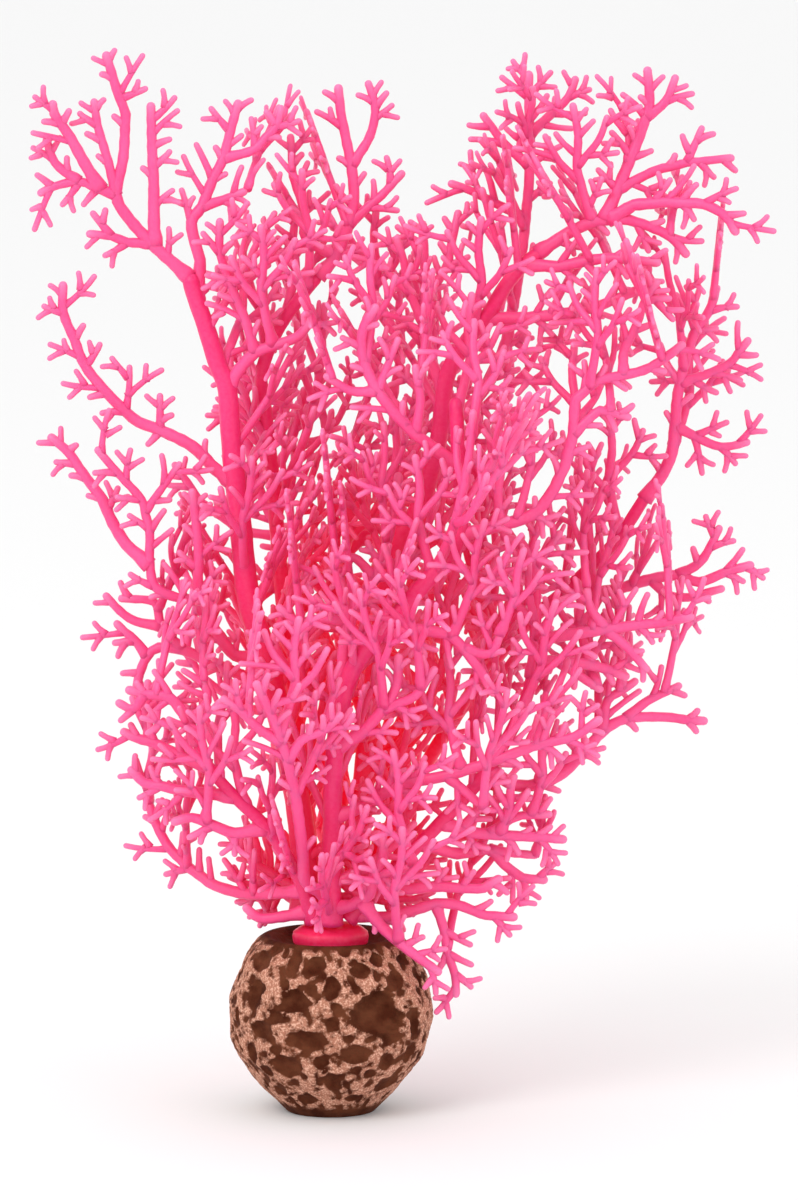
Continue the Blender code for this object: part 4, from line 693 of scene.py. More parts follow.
def plainFan(name, parent, base, turn, lean, size):
    # a copy of the plain fan, drawn from its base on a stem
    foot = np.array(base, float)
    limbs = [[foot + size * np.array(point) for point in limb] for limb in plainFanLimbs]
    return dict(name=name, parent=parent, turn=turn, lean=lean, limbs=limbs)


def registerBall(thicket):
    # the ball as a thick ring of bars, as round as its widest part, so that sprays keep off it
    angles = np.linspace(0, 2 * math.pi, 13)
    ring = np.stack([9.2 * np.cos(angles), 9.2 * np.sin(angles), np.full(13, 23.9)], axis=1)
    thicket.add(ring[:-1], ring[1:], np.full(12, 10.3), -1)


def growAll():
    # lays the limbs, then the drawn twigs, then the rule's twigs, all as the solids have them
    thicket = Thicket()
    registerBall(thicket)
    numbers = {}
    for number, (name, (first, last, route)) in enumerate(stems.items()):
        numbers[name] = number
        registerStem(number, first, last, route, thicket)
    grown = sprays + [plainFan(*row) for row in plainFans]
    for spray in grown:
        spray["number"] = numbers[spray["name"]] = len(numbers)
        spray["parentNumber"] = numbers[spray["parent"]]
        layLimbs(spray, thicket)
    for spray in grown:
        for tip in spray.get("tips", ()):
            twigTo(spray, np.array(tip, float), thicket)
    for spray in grown:
        for tip in spray["limbTips"]:
            sprout(spray, tip, thicket)
    numbers["next"] = len(numbers)
    return grown, numbers, thicket


# What the solids have no faces to spare for: more twigs on the limbs, and forks on the twigs
fineTwigs = {
    "first": 2.8,
    "spacing": 3.4,
    "lengths": (7.6, 6.2, 4.8, 3.4),
    "angle": math.radians(46),
    "half": (0.64, 0.5),
    "clearance": 0.3,
    "bareLimb": 8,
    "forkedFrom": 4.2,
    "forkAt": 0.42,
    "forkLength": 3.6,
    "forkAngle": math.radians(52),
    "forkHalf": (0.58, 0.48),
}


def insideBox(points):
    # all points are less than a millimetre outside the solids' box
    low, high = np.array(cadBox) / mm
    return (points > low - drawing["over"]).all() and (points < high + drawing["over"]).all()


def fineFits(spray, start, tip, half, parentLimb, thicket):
    # room for a fine twig: clear of its own spray past the joint, and of every other piece
    starts, ends, halves, limbs, _ = spray["branches"].bars()
    own = spray["fine"]
    if len(own):
        starts = np.vstack([starts, own[:, 0:2]])
        ends = np.vstack([ends, own[:, 2:4]])
        halves = np.append(halves, own[:, 4])
        limbs = np.append(limbs, own[:, 5])
    air = fineTwigs["clearance"]
    far, _ = nearest(stepsAlong(start, tip, 1.9, 0.7), starts, ends)
    away = far - halves - half - air
    if away[:, limbs != parentLimb].size and away[:, limbs != parentLimb].min() < 0:
        return False
    if away[1:, limbs == parentLimb].size and away[1:, limbs == parentLimb].min() < 0:
        return False
    points = onSheet(spray, stepsAlong(start, tip, 0.8))
    return insideBox(points) and thicket.room(points, half, [spray["number"]]) >= air


def addFine(spray, start, tip, half, limb, thicket):
    # a fine twig is a row: start, tip, half width and limb
    row = [*start, *tip, half, limb]
    spray["fine"] = np.vstack([spray["fine"], [row]])
    thicket.add(onSheet(spray, start[None]), onSheet(spray, tip[None]), [half], spray["number"])


def forkTwig(spray, start, tip, limb, nextLimb, thicket, sides):
    # a twig gets side tips that leave it at forkAt of its length, which makes its end a Y
    along = (tip - start) / np.linalg.norm(tip - start)
    added = 0
    for side in sides:
        angle = math.atan2(along[1], along[0]) + side * fineTwigs["forkAngle"]
        out = np.array([math.cos(angle), math.sin(angle)])
        at = start + (tip - start) * (fineTwigs["forkAt"] + 0.1 * (side > 0))
        for length in (fineTwigs["forkLength"], 0.75 * fineTwigs["forkLength"]):
            half = fineTwigs["forkHalf"][0]
            if fineFits(spray, at, at + length * out, half, limb, thicket):
                addFine(spray, at, at + length * out, half, nextLimb + added, thicket)
                added += 1
                break
    return added


def refine(spray, thicket):
    # fine twigs fill both sides of every limb where there is room; the forks come later, from forkAll
    branches = spray["branches"]
    spray["fine"] = np.empty((0, 6))
    following = max(branches.limb) + 1
    wave = spray["number"]
    for limb in sorted(set(branches.limb)):
        route = np.array([branches.at[node] for node in branches.path(branches.tipOf(limb))])
        lengths = np.linalg.norm(np.diff(route, axis=0), axis=1)
        total = lengths.sum()
        if total < fineTwigs["bareLimb"] and len(branches.nodesOf(limb)) < 2:
            continue
        for step, run in enumerate(np.arange(fineTwigs["first"], total - 1.6, fineTwigs["spacing"])):
            piece = min(int(np.searchsorted(np.cumsum(lengths), run)), len(lengths) - 1)
            along = (route[piece + 1] - route[piece]) / lengths[piece]
            side = 1 if step % 2 else -1
            turn = fineTwigs["angle"] * (1 + 0.12 * math.sin(3.1 * step + wave))
            angle = math.atan2(along[1], along[0]) + side * turn
            out = np.array([math.cos(angle), math.sin(angle)])
            at = route[piece] + (run - lengths[:piece].sum()) * along
            swing = 1 + 0.2 * math.sin(1.7 * step + 2 * wave)
            for length in fineTwigs["lengths"]:
                end = at + length * swing * out
                if fineFits(spray, at, end, fineTwigs["half"][0], limb, thicket):
                    addFine(spray, at, end, fineTwigs["half"][0], following, thicket)
                    following += 1
                    break


# More small fans on the stems and limbs, inside the outline that the bush shows from the front, and
# low sprigs round the foot of each stem
fullness = {
    "fan": (((0, 0), (1.6, 5), (3, 11), (2.6, 17), (3.6, 23.5)),
            ((2.4, 8), (6.5, 12), (9.5, 17.5)),
            ((3, 11.5), (-1.5, 16), (-3.6, 21))),
    "outline": ((-15, 36), (-36, 58), (-39, 80), (-34, 103), (-26, 119), (-19, 125), (-21, 140), (-22, 161),
                (-20, 188), (0, 193), (11, 191), (11, 169), (23, 167), (22, 175), (32, 195), (59, 195),
                (75, 172), (77, 155), (77, 125), (66, 131), (64, 112), (78, 105), (68, 92), (66, 80),
                (43, 59), (41, 44), (24, 28), (13, 33)),
    "stemSpacing": 8.0,
    "limbSpacing": 15.0,
    "turn": math.radians(137.5),
    "sprig": (((0, 0), (4.5, 3), (9.5, 7), (13, 12.5)),
              ((4.5, 3), (9, 1.6), (13.5, 3.4)),
              ((8, 5.5), (7.5, 10), (9, 14.5))),
    "sprigRuns": (2.2, 5.0, 8.0, 11.5),
    "sprigTurns": 9,
    "sizes": (0.95, 0.7, 0.5),
    "leans": (0.1, -0.1, 0.35, -0.35, 0.6, -0.6),
    "clearance": 0.15,
}


def insideBush(flat):
    # whether each drawn point is inside the outline, by the crossings of a level line with its edges
    corners = np.array(fullness["outline"], float)
    after = np.roll(corners, -1, axis=0)
    above = (corners[:, 1] > flat[:, 1:2]) != (after[:, 1] > flat[:, 1:2])
    slope = (after[:, 0] - corners[:, 0]) / (after[:, 1] - corners[:, 1] + 1e-9)
    edge = corners[:, 0] + (flat[:, 1:2] - corners[:, 1]) * slope
    return (above & (flat[:, 0:1] < edge)).sum(axis=1) % 2 == 1


def asSeen(points):
    # across and looked-up height of points in space: height = rise cos tilt + depth sin tilt
    return np.stack([points[:, 0], points[:, 2] * math.cos(drawing["tilt"])
                     + points[:, 1] * math.sin(drawing["tilt"])], axis=1)


def addFan(owner, base, turn, mirror, numbers, thicket, form="fan"):
    # a small fan from a point in space on its parent, if one of its sizes and leans has room there
    across, height = asSeen(base[None])[0]
    for size in fullness["sizes"]:
        for lean in fullness["leans"]:
            fan = dict(name=owner["name"], number=numbers["next"], parentNumber=owner["number"],
                       turn=math.degrees(turn), lean=lean, base=(across, base[1], height))
            flip = np.array([mirror, 1]) * size
            foot = np.array([across, height])
            limbs = [foot + np.array(limb) * flip for limb in fullness[form]]
            branches = Branches(limbs[0][0], growth["sideLimbHalf"][0])
            tips = [branches.addLimb(limbs[0][1:], growth["sideLimbHalf"], 0, 0)]
            for number, route in enumerate(limbs[1:], 1):
                starts, ends, _, _, nodes = branches.bars()
                far, share = nearest(route[:1], starts, ends)
                closest = far[0].argmin()
                joint = branches.split(nodes[closest], share[0, closest])
                tips.append(branches.addLimb(route[1:], growth["twigHalf"], joint, number))
            fan["branches"], fan["limbTips"] = branches, tips
            corners = onSheet(fan, np.vstack([route[1:] for route in limbs]))
            if not insideBush(asSeen(corners)).all() or not insideBox(corners):
                continue
            if spareRoom(fan, branches, thicket) < fullness["clearance"]:
                continue
            starts, ends, halves, _, _ = branches.bars()
            thicket.add(onSheet(fan, starts), onSheet(fan, ends), halves, fan["number"])
            numbers["next"] += 1
            return fan
    return None


def fansOnRoute(owner, points, spacing, first, turn, numbers, thicket):
    # fans along a route in space, each turned on by the golden angle from the one before
    runs = runsAlong(points)
    made = []
    for step, run in enumerate(np.arange(first, runs[-1] + 0.5, spacing)):
        base = np.array([np.interp(run, runs, points[:, n]) for n in range(3)])
        turned = turn + step * fullness["turn"]
        fan = addFan(owner, base, turned, 1 if step % 2 else -1, numbers, thicket)
        if fan:
            made.append(fan)
    return made


def sprigsRound(owner, points, numbers, thicket):
    # low sprigs round the foot of a stem, each in the first of evenly spread turns that has room
    runs = runsAlong(points)
    made = []
    for step, run in enumerate(fullness["sprigRuns"]):
        base = np.array([np.interp(run, runs, points[:, n]) for n in range(3)])
        away = math.atan2(base[1] - 4, base[0] - 1)
        for turned in range(fullness["sprigTurns"]):
            swing = (turned + 1) // 2 * (1 if turned % 2 else -1)
            turn = away + 0.5 * step + swing * 2 * math.pi / fullness["sprigTurns"]
            fan = addFan(owner, base, turn, 1, numbers, thicket, "sprig")
            if fan:
                made.append(fan)
                break
    return made


def fillBush(grown, numbers, thicket):
    # sprigs round the foot of every stem, fans up the stems, then fans on the long limbs
    extra = []
    for name, (first, last, route) in stems.items():
        owner = {"name": name, "number": numbers[name]}
        extra += sprigsRound(owner, place(*np.array(route, float).T), numbers, thicket)
    print("sprigs round the foot:", len(extra))
    for name, (first, last, route) in stems.items():
        points = place(*np.array(route, float).T)
        owner = {"name": name, "number": numbers[name]}
        extra += fansOnRoute(owner, points, fullness["stemSpacing"], 3, 0.4 * numbers[name], numbers, thicket)
    for spray in grown:
        branches = spray["branches"]
        for tip in spray["limbTips"]:
            route = np.array([branches.at[node] for node in branches.path(tip)])
            points = onSheet(spray, route)
            turn = math.radians(spray.get("turn", 0)) + 0.7 + spray["number"]
            extra += fansOnRoute(spray, points, fullness["limbSpacing"], 9, turn, numbers, thicket)
    return extra


def forkAll(spray, thicket):
    # forks every twig and limb end that is long enough, on the side that has room
    branches = spray["branches"]
    following = int(max(max(branches.limb), spray["fine"][:, 5].max() if len(spray["fine"]) else 0)) + 1
    ends = []
    for node, parent in enumerate(branches.parent):
        if parent >= 0 and branches.isTip(node):
            ends.append((branches.at[parent], branches.at[node], branches.limb[node]))
    ends += [(row[0:2], row[2:4], row[5]) for row in spray["fine"]]
    for number, (start, tip, limb) in enumerate(ends):
        if np.linalg.norm(tip - start) < fineTwigs["forkedFrom"]:
            continue
        sides = (1, -1) if number % 2 else (-1, 1)
        following += forkTwig(spray, start, tip, limb, following, thicket, sides)


# The moulded tubes: corners round each, its thickness for its width, and the seam that the mould left
tubes = {
    "limbSides": 12,
    "twigSides": 8,
    "thickness": 0.85,
    "twigShare": 0.9,
    "seam": 0.07,
    "limbStep": 1.1,
    "flare": 0.3,
    "flareRun": 0.7,
    "knobs": 0.05,
    "paleEnd": 3.5,
    "fineEnd": 0.88,
}


def smoothed(route, step):
    # a Catmull-Rom curve through the route's points, read about one step apart
    route = np.asarray(route, float)
    padded = np.vstack([2 * route[0] - route[1], route, 2 * route[-1] - route[-2]])
    pieces = []
    for n in range(len(route) - 1):
        a, b, c, d = padded[n : n + 4]
        count = max(int(np.linalg.norm(c - b) / step), 1)
        t = np.linspace(0, 1, count, endpoint=False)[:, None]
        pieces.append(0.5 * (2 * b + (c - a) * t + (2 * a - 5 * b + 4 * c - d) * t**2
                             + (3 * b - a - 3 * c + d) * t**3))
    return np.vstack([*pieces, route[-1:]])


def tubeGrid(path, halves, facing, sides, seam):
    # point(s, a) = path(s) + half(s) cos a * side + thickness half(s) sin a * front: rings across a path,
    # with a small ridge at a = 0 and a = half a turn, where the two halves of the mould met
    tangent = np.gradient(path, axis=0)
    tangent /= np.linalg.norm(tangent, axis=1)[:, None]
    side = np.cross(tangent, facing)
    side /= np.linalg.norm(side, axis=1)[:, None]
    front = np.cross(side, tangent)
    angle = np.linspace(0, 2 * np.pi, sides, endpoint=False)
    ridge = 1 + seam * np.abs(np.cos(angle)) ** 12
    across = halves[:, 0:1] * np.cos(angle) * ridge
    through = halves[:, 1:2] * np.sin(angle)
    return path[:, None] + across[..., None] * side[:, None] + through[..., None] * front[:, None]


def closedGrid(rows, columns):
    # faces of a grid of corners, closed round, with one corner more below its first row and one above
    # its last: quads between neighbours, and a ring of triangles at either end
    ring, column = np.meshgrid(np.arange(rows - 1), np.arange(columns), indexing="ij")
    after = (column + 1) % columns
    quads = np.stack([ring * columns + column, ring * columns + after,
                      (ring + 1) * columns + after, (ring + 1) * columns + column], axis=-1)
    around = np.arange(columns)
    foot = np.stack([np.full(columns, rows * columns), (around + 1) % columns, around], axis=1)
    last = (rows - 1) * columns
    top = np.stack([np.full(columns, rows * columns + 1), last + around, last + (around + 1) % columns],
                   axis=1)
    return quads.reshape(-1, 4), np.vstack([foot, top])


def tubeShell(path, halves, facing, sides, seam, tipShare):
    # the rings, closed at both ends by a point; returns corners, faces and tip shares
    grid = tubeGrid(path, halves, facing, sides, seam)
    corners = np.vstack([grid.reshape(-1, 3), path[:1], path[-1:]])
    quads, triangles = closedGrid(len(path), sides)
    share = np.append(np.repeat(tipShare, sides), [tipShare[0], tipShare[-1]])
    return corners, quads, triangles, share


def roundTip(path, halves, share):
    # the last stretch, as long as the tube is thick, closes as a quarter of a circle
    end = halves[-1, 0]
    lengths = runsAlong(path)
    total = lengths[-1]
    kept = lengths < total - end * 1.05
    turns = np.array([0.0, 0.7, 1.15, 1.5])
    runs = np.append(lengths[kept], total - end * (1 - np.sin(turns)))
    close = np.append(np.ones(kept.sum()), np.cos(turns))
    points = np.stack([np.interp(runs, lengths, path[:, n]) for n in range(3)], axis=1)
    wide = np.stack([np.interp(runs, lengths, halves[:, n]) * close for n in range(2)], axis=1)
    return points, wide, np.interp(runs, lengths, share)


def flaredHalves(runs, start, end, total, parentHalf, flare):
    # half(s) = start to end evenly, times 1 + flare e^(-(s - parent half) / run) in the sheet only
    even = start + (end - start) * runs / total
    knob = 1 + tubes["knobs"] * np.sin(2.3 * runs + 7 * start + total)
    web = 1 + flare * np.exp(-np.maximum(runs - parentHalf, 0) / tubes["flareRun"])
    return np.stack([even * knob * web, even * knob * tubes["thickness"] * (1 + 0.15 * (web - 1))], axis=1)


def limbTube(spray, route, start, end, parentHalf, sides, isLimb):
    # one limb or twig of a spray as a tube on its bent sheet
    if isLimb:
        flat = smoothed(route, tubes["limbStep"])
    else:
        t = np.linspace(0, 1, 5)[:, None]
        a, b = route[0], route[-1]
        bow = np.array([-(b - a)[1], (b - a)[0]]) * 0.05 * math.sin(5 * a[0] + 3 * a[1])
        flat = a + t * (b - a) + 4 * t * (1 - t) * bow
        start, end = start * tubes["twigShare"], end * tubes["twigShare"]
    lengths = runsAlong(flat)
    total = lengths[-1]
    halves = flaredHalves(lengths, start, end, total, parentHalf, tubes["flare"] if parentHalf else 0)
    points = onSheet(spray, flat)
    lifted = onSheet(spray, flat, 0.5)
    facing = lifted - points
    facing /= np.linalg.norm(facing, axis=1)[:, None]
    share = np.clip(1 - (total - lengths) / tubes["paleEnd"], 0, 1)
    path, wide, tipShare = roundTip(points, halves, share)
    if isLimb:
        along, known = np.linspace(0, 1, len(path)), np.linspace(0, 1, len(facing))
        facing = np.stack([np.interp(along, known, facing[:, n]) for n in range(3)], axis=1)
    else:
        facing = np.repeat(facing[-1:], len(path), axis=0)
    return tubeShell(path, wide, facing, sides, tubes["seam"], tipShare)


def joined(shells):
    # several shells as one set of corners, quads, triangles and shares
    shift = np.cumsum([0] + [len(shell[0]) for shell in shells])[:-1]
    corners = np.vstack([shell[0] for shell in shells])
    quads = np.vstack([shell[1] + move for shell, move in zip(shells, shift)])
    triangles = np.vstack([shell[2] + move for shell, move in zip(shells, shift)])
    return corners, quads, triangles, np.concatenate([shell[3] for shell in shells])


def meshObject(name, corners, quads, triangles, values):
    # corners in mm become a smooth mesh in metres, with its values kept as attributes
    mesh = bpy.data.meshes.new(name)
    mesh.vertices.add(len(corners))
    mesh.vertices.foreach_set("co", (corners * mm).astype(np.float32).ravel())
    loops = np.concatenate([quads.ravel(), triangles.ravel()])
    counts = np.concatenate([np.full(len(quads), 4), np.full(len(triangles), 3)])
    mesh.loops.add(len(loops))
    mesh.loops.foreach_set("vertex_index", loops.astype(np.int32))
    mesh.polygons.add(len(counts))
    mesh.polygons.foreach_set("loop_start", np.append(0, np.cumsum(counts)[:-1]).astype(np.int32))
    mesh.polygons.foreach_set("use_smooth", np.ones(len(counts), bool))
    mesh.update(calc_edges=True)
    mesh.validate()
    for key, numbers in values.items():
        layer = mesh.attributes.new(key, "FLOAT", "POINT")
        layer.data.foreach_set("value", np.asarray(numbers, np.float32))
    made = bpy.data.objects.new(name, mesh)
    bpy.context.scene.collection.objects.link(made)
    return made


def dress(made, node, finish):
    # the piece rides on the root, stands for one node and takes one slot
    made.data.materials.append(finish)
    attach(made, "root")
    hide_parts(node)


def sprayShells(spray):
    # every limb, twig and fine twig of a spray, its first limb from the middle of what it grows on
    branches = spray["branches"]
    shells = []
    for limb in sorted(set(branches.limb)):
        tip = branches.tipOf(limb)
        path = branches.path(tip)
        route = np.array([branches.at[node] for node in path])
        first = branches.start[path[1]]
        if limb == 0:
            route = np.vstack([[spray["base"][0], spray["base"][2]], route])
            route = route[np.append(True, np.linalg.norm(np.diff(route, axis=0), axis=1) > 0.05)]
        isMain = len(route) > 2 or np.linalg.norm(route[-1] - route[0]) > 9
        parentHalf = 1.5 if limb == 0 else max(branches.end[path[0]], 0.6)
        sides = tubes["limbSides"] if isMain else tubes["twigSides"]
        shells.append(limbTube(spray, route, first, branches.end[tip], parentHalf, sides, isMain))
    for row in spray["fine"]:
        shells.append(limbTube(spray, np.array([row[0:2], row[2:4]]), row[4], row[4] * tubes["fineEnd"],
                               0.75, tubes["twigSides"], False))
    return shells


# Painted light: the heart of the bush is painted redder, and made to glow, for light that has passed through
# the plastic and bounced inside it
paintedInnerLight = {"middle": (5.0, 12.0, 72.0), "reach": (34.0, 21.0, 58.0), "edge": 1.15}


def paintedInnerLightShare(corners):
    # the share of painted red light and glow: edge minus the distance from the heart's middle, in reaches, kept
    # between 0 and 1
    away = np.linalg.norm((corners - np.array(paintedInnerLight["middle"])) / np.array(paintedInnerLight["reach"]), axis=1)
    return np.clip(paintedInnerLight["edge"] - away, 0, 1)


def pieceObject(name, shells, finish):
    # one object from all shells of a node; returns its count of triangles
    corners, quads, triangles, share = joined(shells)
    # the share of painted red light and glow goes with the tip share as an attribute
    values = {"tip": share, "paintedInnerLight": paintedInnerLightShare(corners)}
    made = meshObject(name + "_moulded", corners, quads, triangles, values)
    dress(made, name, finish)
    return len(quads) * 2 + len(triangles)


# Stems are round, thick and only a little knobbly
stemTubes = {"sides": 20, "step": 0.9, "seam": 0.035, "flare": 0.35, "flareRun": 2.5, "ripple": 0.025}


def stemShell(first, last, route):
    # half(s) = the radius for that share of the route, times 1 + ripple sin 0.9s sin(0.37s + first),
    # times 1 + flare e^(-s / flareRun)
    drawn = place(*np.array(route, float).T)
    path = smoothed(drawn, stemTubes["step"])
    drawnRuns = runsAlong(drawn)
    runs = runsAlong(path)
    total = runs[-1]
    half = np.interp(runs / total, drawnRuns / drawnRuns[-1], np.linspace(first, last, len(route)))
    half = half * (1 + stemTubes["ripple"] * np.sin(0.9 * runs) * np.sin(0.37 * runs + first))
    half = half * (1 + stemTubes["flare"] * np.exp(-runs / stemTubes["flareRun"]))
    share = np.full(len(path), -1.0)  # below 0 on stems, which are deeper in colour
    path, wide, share = roundTip(path, np.stack([half, half * 0.95], axis=1), share)
    facing = np.repeat(np.array([[0.0, -1.0, 0.0]]), len(path), axis=0)
    return tubeShell(path, wide, facing, stemTubes["sides"], stemTubes["seam"], share)


# The ball: its outline from the foot up and over into the crater, as the solid has it
ball = {
    "outline": (
        (8.4, 0.0), (10.3, 1.9), (12.7, 4.4), (15.4, 7.4), (17.5, 10.6), (18.9, 14.4), (19.4, 18.4),
        (19.1, 22.4), (17.9, 26.4), (16.3, 29.6), (14.4, 32.4), (12.6, 33.9), (11.0, 33.3), (9.2, 31.7),
        (6.2, 30.9)),
    "sideCorners": 12,
    "craterFloor": 30.6,
    "columns": 340,
    "rows": 230,
    "crispShare": 0.2,
    "lump": 0.35,
    "grain": 0.07,
    "wornTo": 0.4,
    "footEdge": 1.2,
    "netDepth": 0.42,
    "pits": (
        (0.3, 24, 1.6, 2.6), (-6.5, 21.3, 3.2, 2.4), (9, 19, 5.5, 4.5), (12.5, 25, 2.6, 1.8),
        (-13, 28.5, 2.6, 2), (-6.8, 28.5, 1.6, 3), (-14.5, 22.3, 2, 3.5), (-13, 15.8, 3.3, 1.9),
        (-4, 14, 4.6, 2), (5, 11.2, 3, 2.1), (10.6, 10, 2, 1.9), (16, 17, 1.8, 3.5), (-8, 9, 3.4, 2.4),
        (0.3, 6.2, 2, 2), (11, 5.6, 3.2, 1.7), (-15, 11.5, 1.8, 2), (6, 27, 2, 1.5), (-3, 28, 2.6, 1.8)),
    "smallPits": (
        (-8.5, 24.5, 1.3, 1.3), (-3.5, 23.5, 1.5, 1.5), (17, 25, 1.0, 2.0), (-17.3, 26, 1.0, 1.8),
        (0.5, 17.4, 1.6, 1.2), (15, 11.5, 1.5, 2.2), (-12, 8, 1.8, 1.3), (12.9, 7.9, 1.2, 1.0),
        (-4.5, 2.5, 2.6, 1.2), (15.7, 7.4, 1.2, 1.2), (9, 29, 1.7, 1.3), (12, 14.4, 2.6, 1.2),
        (1.2, 20.3, 1.4, 1.0), (-10.2, 18.3, 1.6, 1.3), (-2, 10, 1.5, 1.3), (7.6, 7.6, 1.4, 1.1),
        (3.6, 14.4, 1.3, 0.9), (-17.6, 18.5, 1.0, 1.9), (-10.5, 12.2, 1.5, 1.1), (4.2, 2.8, 1.8, 1.0),
        (-9.5, 4.2, 1.7, 1.1), (13.8, 29, 1.6, 1.2), (2.8, 30.6, 1.5, 1.1), (-10.4, 30.9, 1.5, 1.1)),
    "backPits": 26,
    "backSmallPits": 40,
    "depth": 0.55,
    "smallDepth": 0.7,
}


def ballWidth(height):
    # the radius of the ball's side at a height, evenly between the outline's corners
    side = np.array(ball["outline"][: ball["sideCorners"]])
    return np.interp(height, side[:, 1], side[:, 0])


def frontPit(across, height, wide, high):
    # where the line of sight at (across, height) meets the ball: its angle and height there
    rise = height
    for _ in range(5):
        depth = -math.sqrt(max(ballWidth(rise) ** 2 - across**2, 1))
        rise = place(across, depth, height)[2]
    return math.atan2(depth, across), rise, wide, high


def backPit(number, count, least, swing):
    # turned on by the golden angle round the sides and back, rising evenly
    share = (number * 0.618) % 1
    size = least + swing * abs(math.sin(2.3 * number))
    return math.pi * (0.06 + 0.88 * share), 5 + 24 * (number + 0.5) / count, size * 1.15, size


def pitDepth(angle, height, pits, depth, power):
    # greatest over the pits of depth * size * (1 - (round / wide)^2 - (up / high)^2)^power
    total = np.zeros_like(angle)
    for turn, rise, wide, high in pits:
        roundTo = (angle - turn + math.pi) % (2 * math.pi) - math.pi
        wobble = 1 + 0.34 * np.sin(21 * angle + 1.3 * height) * np.sin(1.9 * height + 8 * angle)
        wobble = wobble + 0.22 * np.sin(0.9 * height - 13 * angle + 2 * np.sin(5 * angle))
        away = ((roundTo * ballWidth(rise) / wide) ** 2 + ((height - rise) / high) ** 2) * wobble
        total = np.maximum(total, depth * min(wide, high) * np.clip(1 - away, 0, 1) ** power)
    return total


def ballProfile():
    # the outline read evenly along its length, and smoothed but for the foot, which stays crisp
    profile = np.array([(0.001, 0.0), *ball["outline"], (0.001, ball["craterFloor"])])
    runs = runsAlong(profile)
    even = np.linspace(0, runs[-1], ball["rows"])
    width = np.interp(even, runs, profile[:, 0])
    height = np.interp(even, runs, profile[:, 1])
    kernel = np.hanning(11) / np.hanning(11).sum()
    past = slice(int(ball["rows"] * ball["crispShare"]), None)
    for values in (width, height):
        values[past] = np.convolve(np.pad(values, 5, mode="edge"), kernel, mode="valid")[past]
    return width, height


def ballHollow(turn, h):
    # the deepest of the pits, the small pits, and a net of waves crossing waves
    big = [frontPit(*pit) for pit in ball["pits"]]
    big += [backPit(n, ball["backPits"], 1.7, 1.3) for n in range(ball["backPits"])]
    small = [frontPit(*pit) for pit in ball["smallPits"]]
    small += [backPit(n + 0.5, ball["backSmallPits"], 0.9, 0.7) for n in range(ball["backSmallPits"])]
    deep = pitDepth(turn, h, big, ball["depth"], 0.9)
    shallow = pitDepth(turn, h, small, ball["smallDepth"], 0.9)
    net = np.sin(17 * turn + 1.6 * np.sin(0.55 * h + 3 * turn)) * np.sin(0.95 * h + 1.4 * np.sin(9 * turn))
    net += 0.6 * np.sin(29 * turn - 0.8 * h) * np.sin(1.7 * h + 11 * turn)
    return np.maximum(np.maximum(deep, shallow), ball["netDepth"] * np.clip(net, 0, 1))


def ballObject(finish):
    # corner(u, v): the outline at share v of its length, turned to angle u, its width changed on the
    # outside by lump wave + grain wave - hollow
    angle = np.linspace(0, 2 * np.pi, ball["columns"], endpoint=False)
    width, height = ballProfile()
    turn, w = np.meshgrid(angle, width)
    _, h = np.meshgrid(angle, height)
    push = ball["lump"] * np.sin(5 * turn + 0.3 * h) * np.sin(0.45 * h + 2 * np.cos(2 * turn))
    grain = ball["grain"] * np.sin(31 * turn + 2.3 * h) * np.sin(2.9 * h + 13 * turn)
    hollow = ballHollow(turn, h)
    outer = np.clip((w - ballWidth(h) + 1.0) / 0.5, 0, 1) * np.clip((h - ball["footEdge"]) / 1.5, 0, 1)
    outer *= np.clip((33.6 - h) / 1.0, 0, 1)
    w = w + (push - hollow + grain) * outer
    corners = np.stack([w * np.cos(turn), w * np.sin(turn), h], axis=-1).reshape(-1, 3)
    corners = np.vstack([corners, [[0, 0, 0], [0, 0, ball["craterFloor"]]]])
    quads, triangles = closedGrid(ball["rows"], ball["columns"])
    ridge = np.clip(1 - hollow / ball["wornTo"], 0, 1) * outer
    wear = np.append(ridge.ravel(), [0, 0])
    made = meshObject("stone_ball_pitted", corners, quads, triangles, {"wear": wear})
    dress(made, "stone_ball", finish)
    print("ball:", len(quads) * 2, "triangles")


# The plug's outline, from below its middle to above it
plug = {
    "profile": ((0.01, 31.3), (6.0, 31.3), (7.2, 32.4), (7.4, 33.6), (7.2, 34.6), (5.5, 35.6),
                (2.8, 35.95), (0.01, 36.0)),
    "columns": 72,
    "rows": 40,
    "lump": 0.03,
    # share of painted red light and glow for the plug, which sits in the heart of the bush
    "paintedInnerLight": 0.6,
}


def plugObject(finish):
    # a turned lump of plastic: corner(u, v) = profile(v) turned to u, times 1 + lump sin 7u
    profile = np.array(plug["profile"])
    runs = runsAlong(profile)
    even = np.linspace(0, runs[-1], plug["rows"])
    angle = np.linspace(0, 2 * np.pi, plug["columns"], endpoint=False)
    turn, w = np.meshgrid(angle, np.interp(even, runs, profile[:, 0]))
    _, h = np.meshgrid(angle, np.interp(even, runs, profile[:, 1]))
    w = w * (1 - plug["lump"] * (1 + np.sin(7 * turn)))
    corners = np.stack([w * np.cos(turn), w * np.sin(turn), h], axis=-1).reshape(-1, 3)
    corners = np.vstack([corners, [[0, 0, profile[0, 1]], [0, 0, profile[-1, 1]]]])
    quads, triangles = closedGrid(plug["rows"], plug["columns"])
    # deep pink as a stem, with painted red light and glow as the heart of the bush
    values = {"tip": np.full(len(corners), -1.0), "paintedInnerLight": np.full(len(corners), plug["paintedInnerLight"])}
    made = meshObject("root_plug_moulded", corners, quads, triangles, values)
    dress(made, "root_plug", finish)


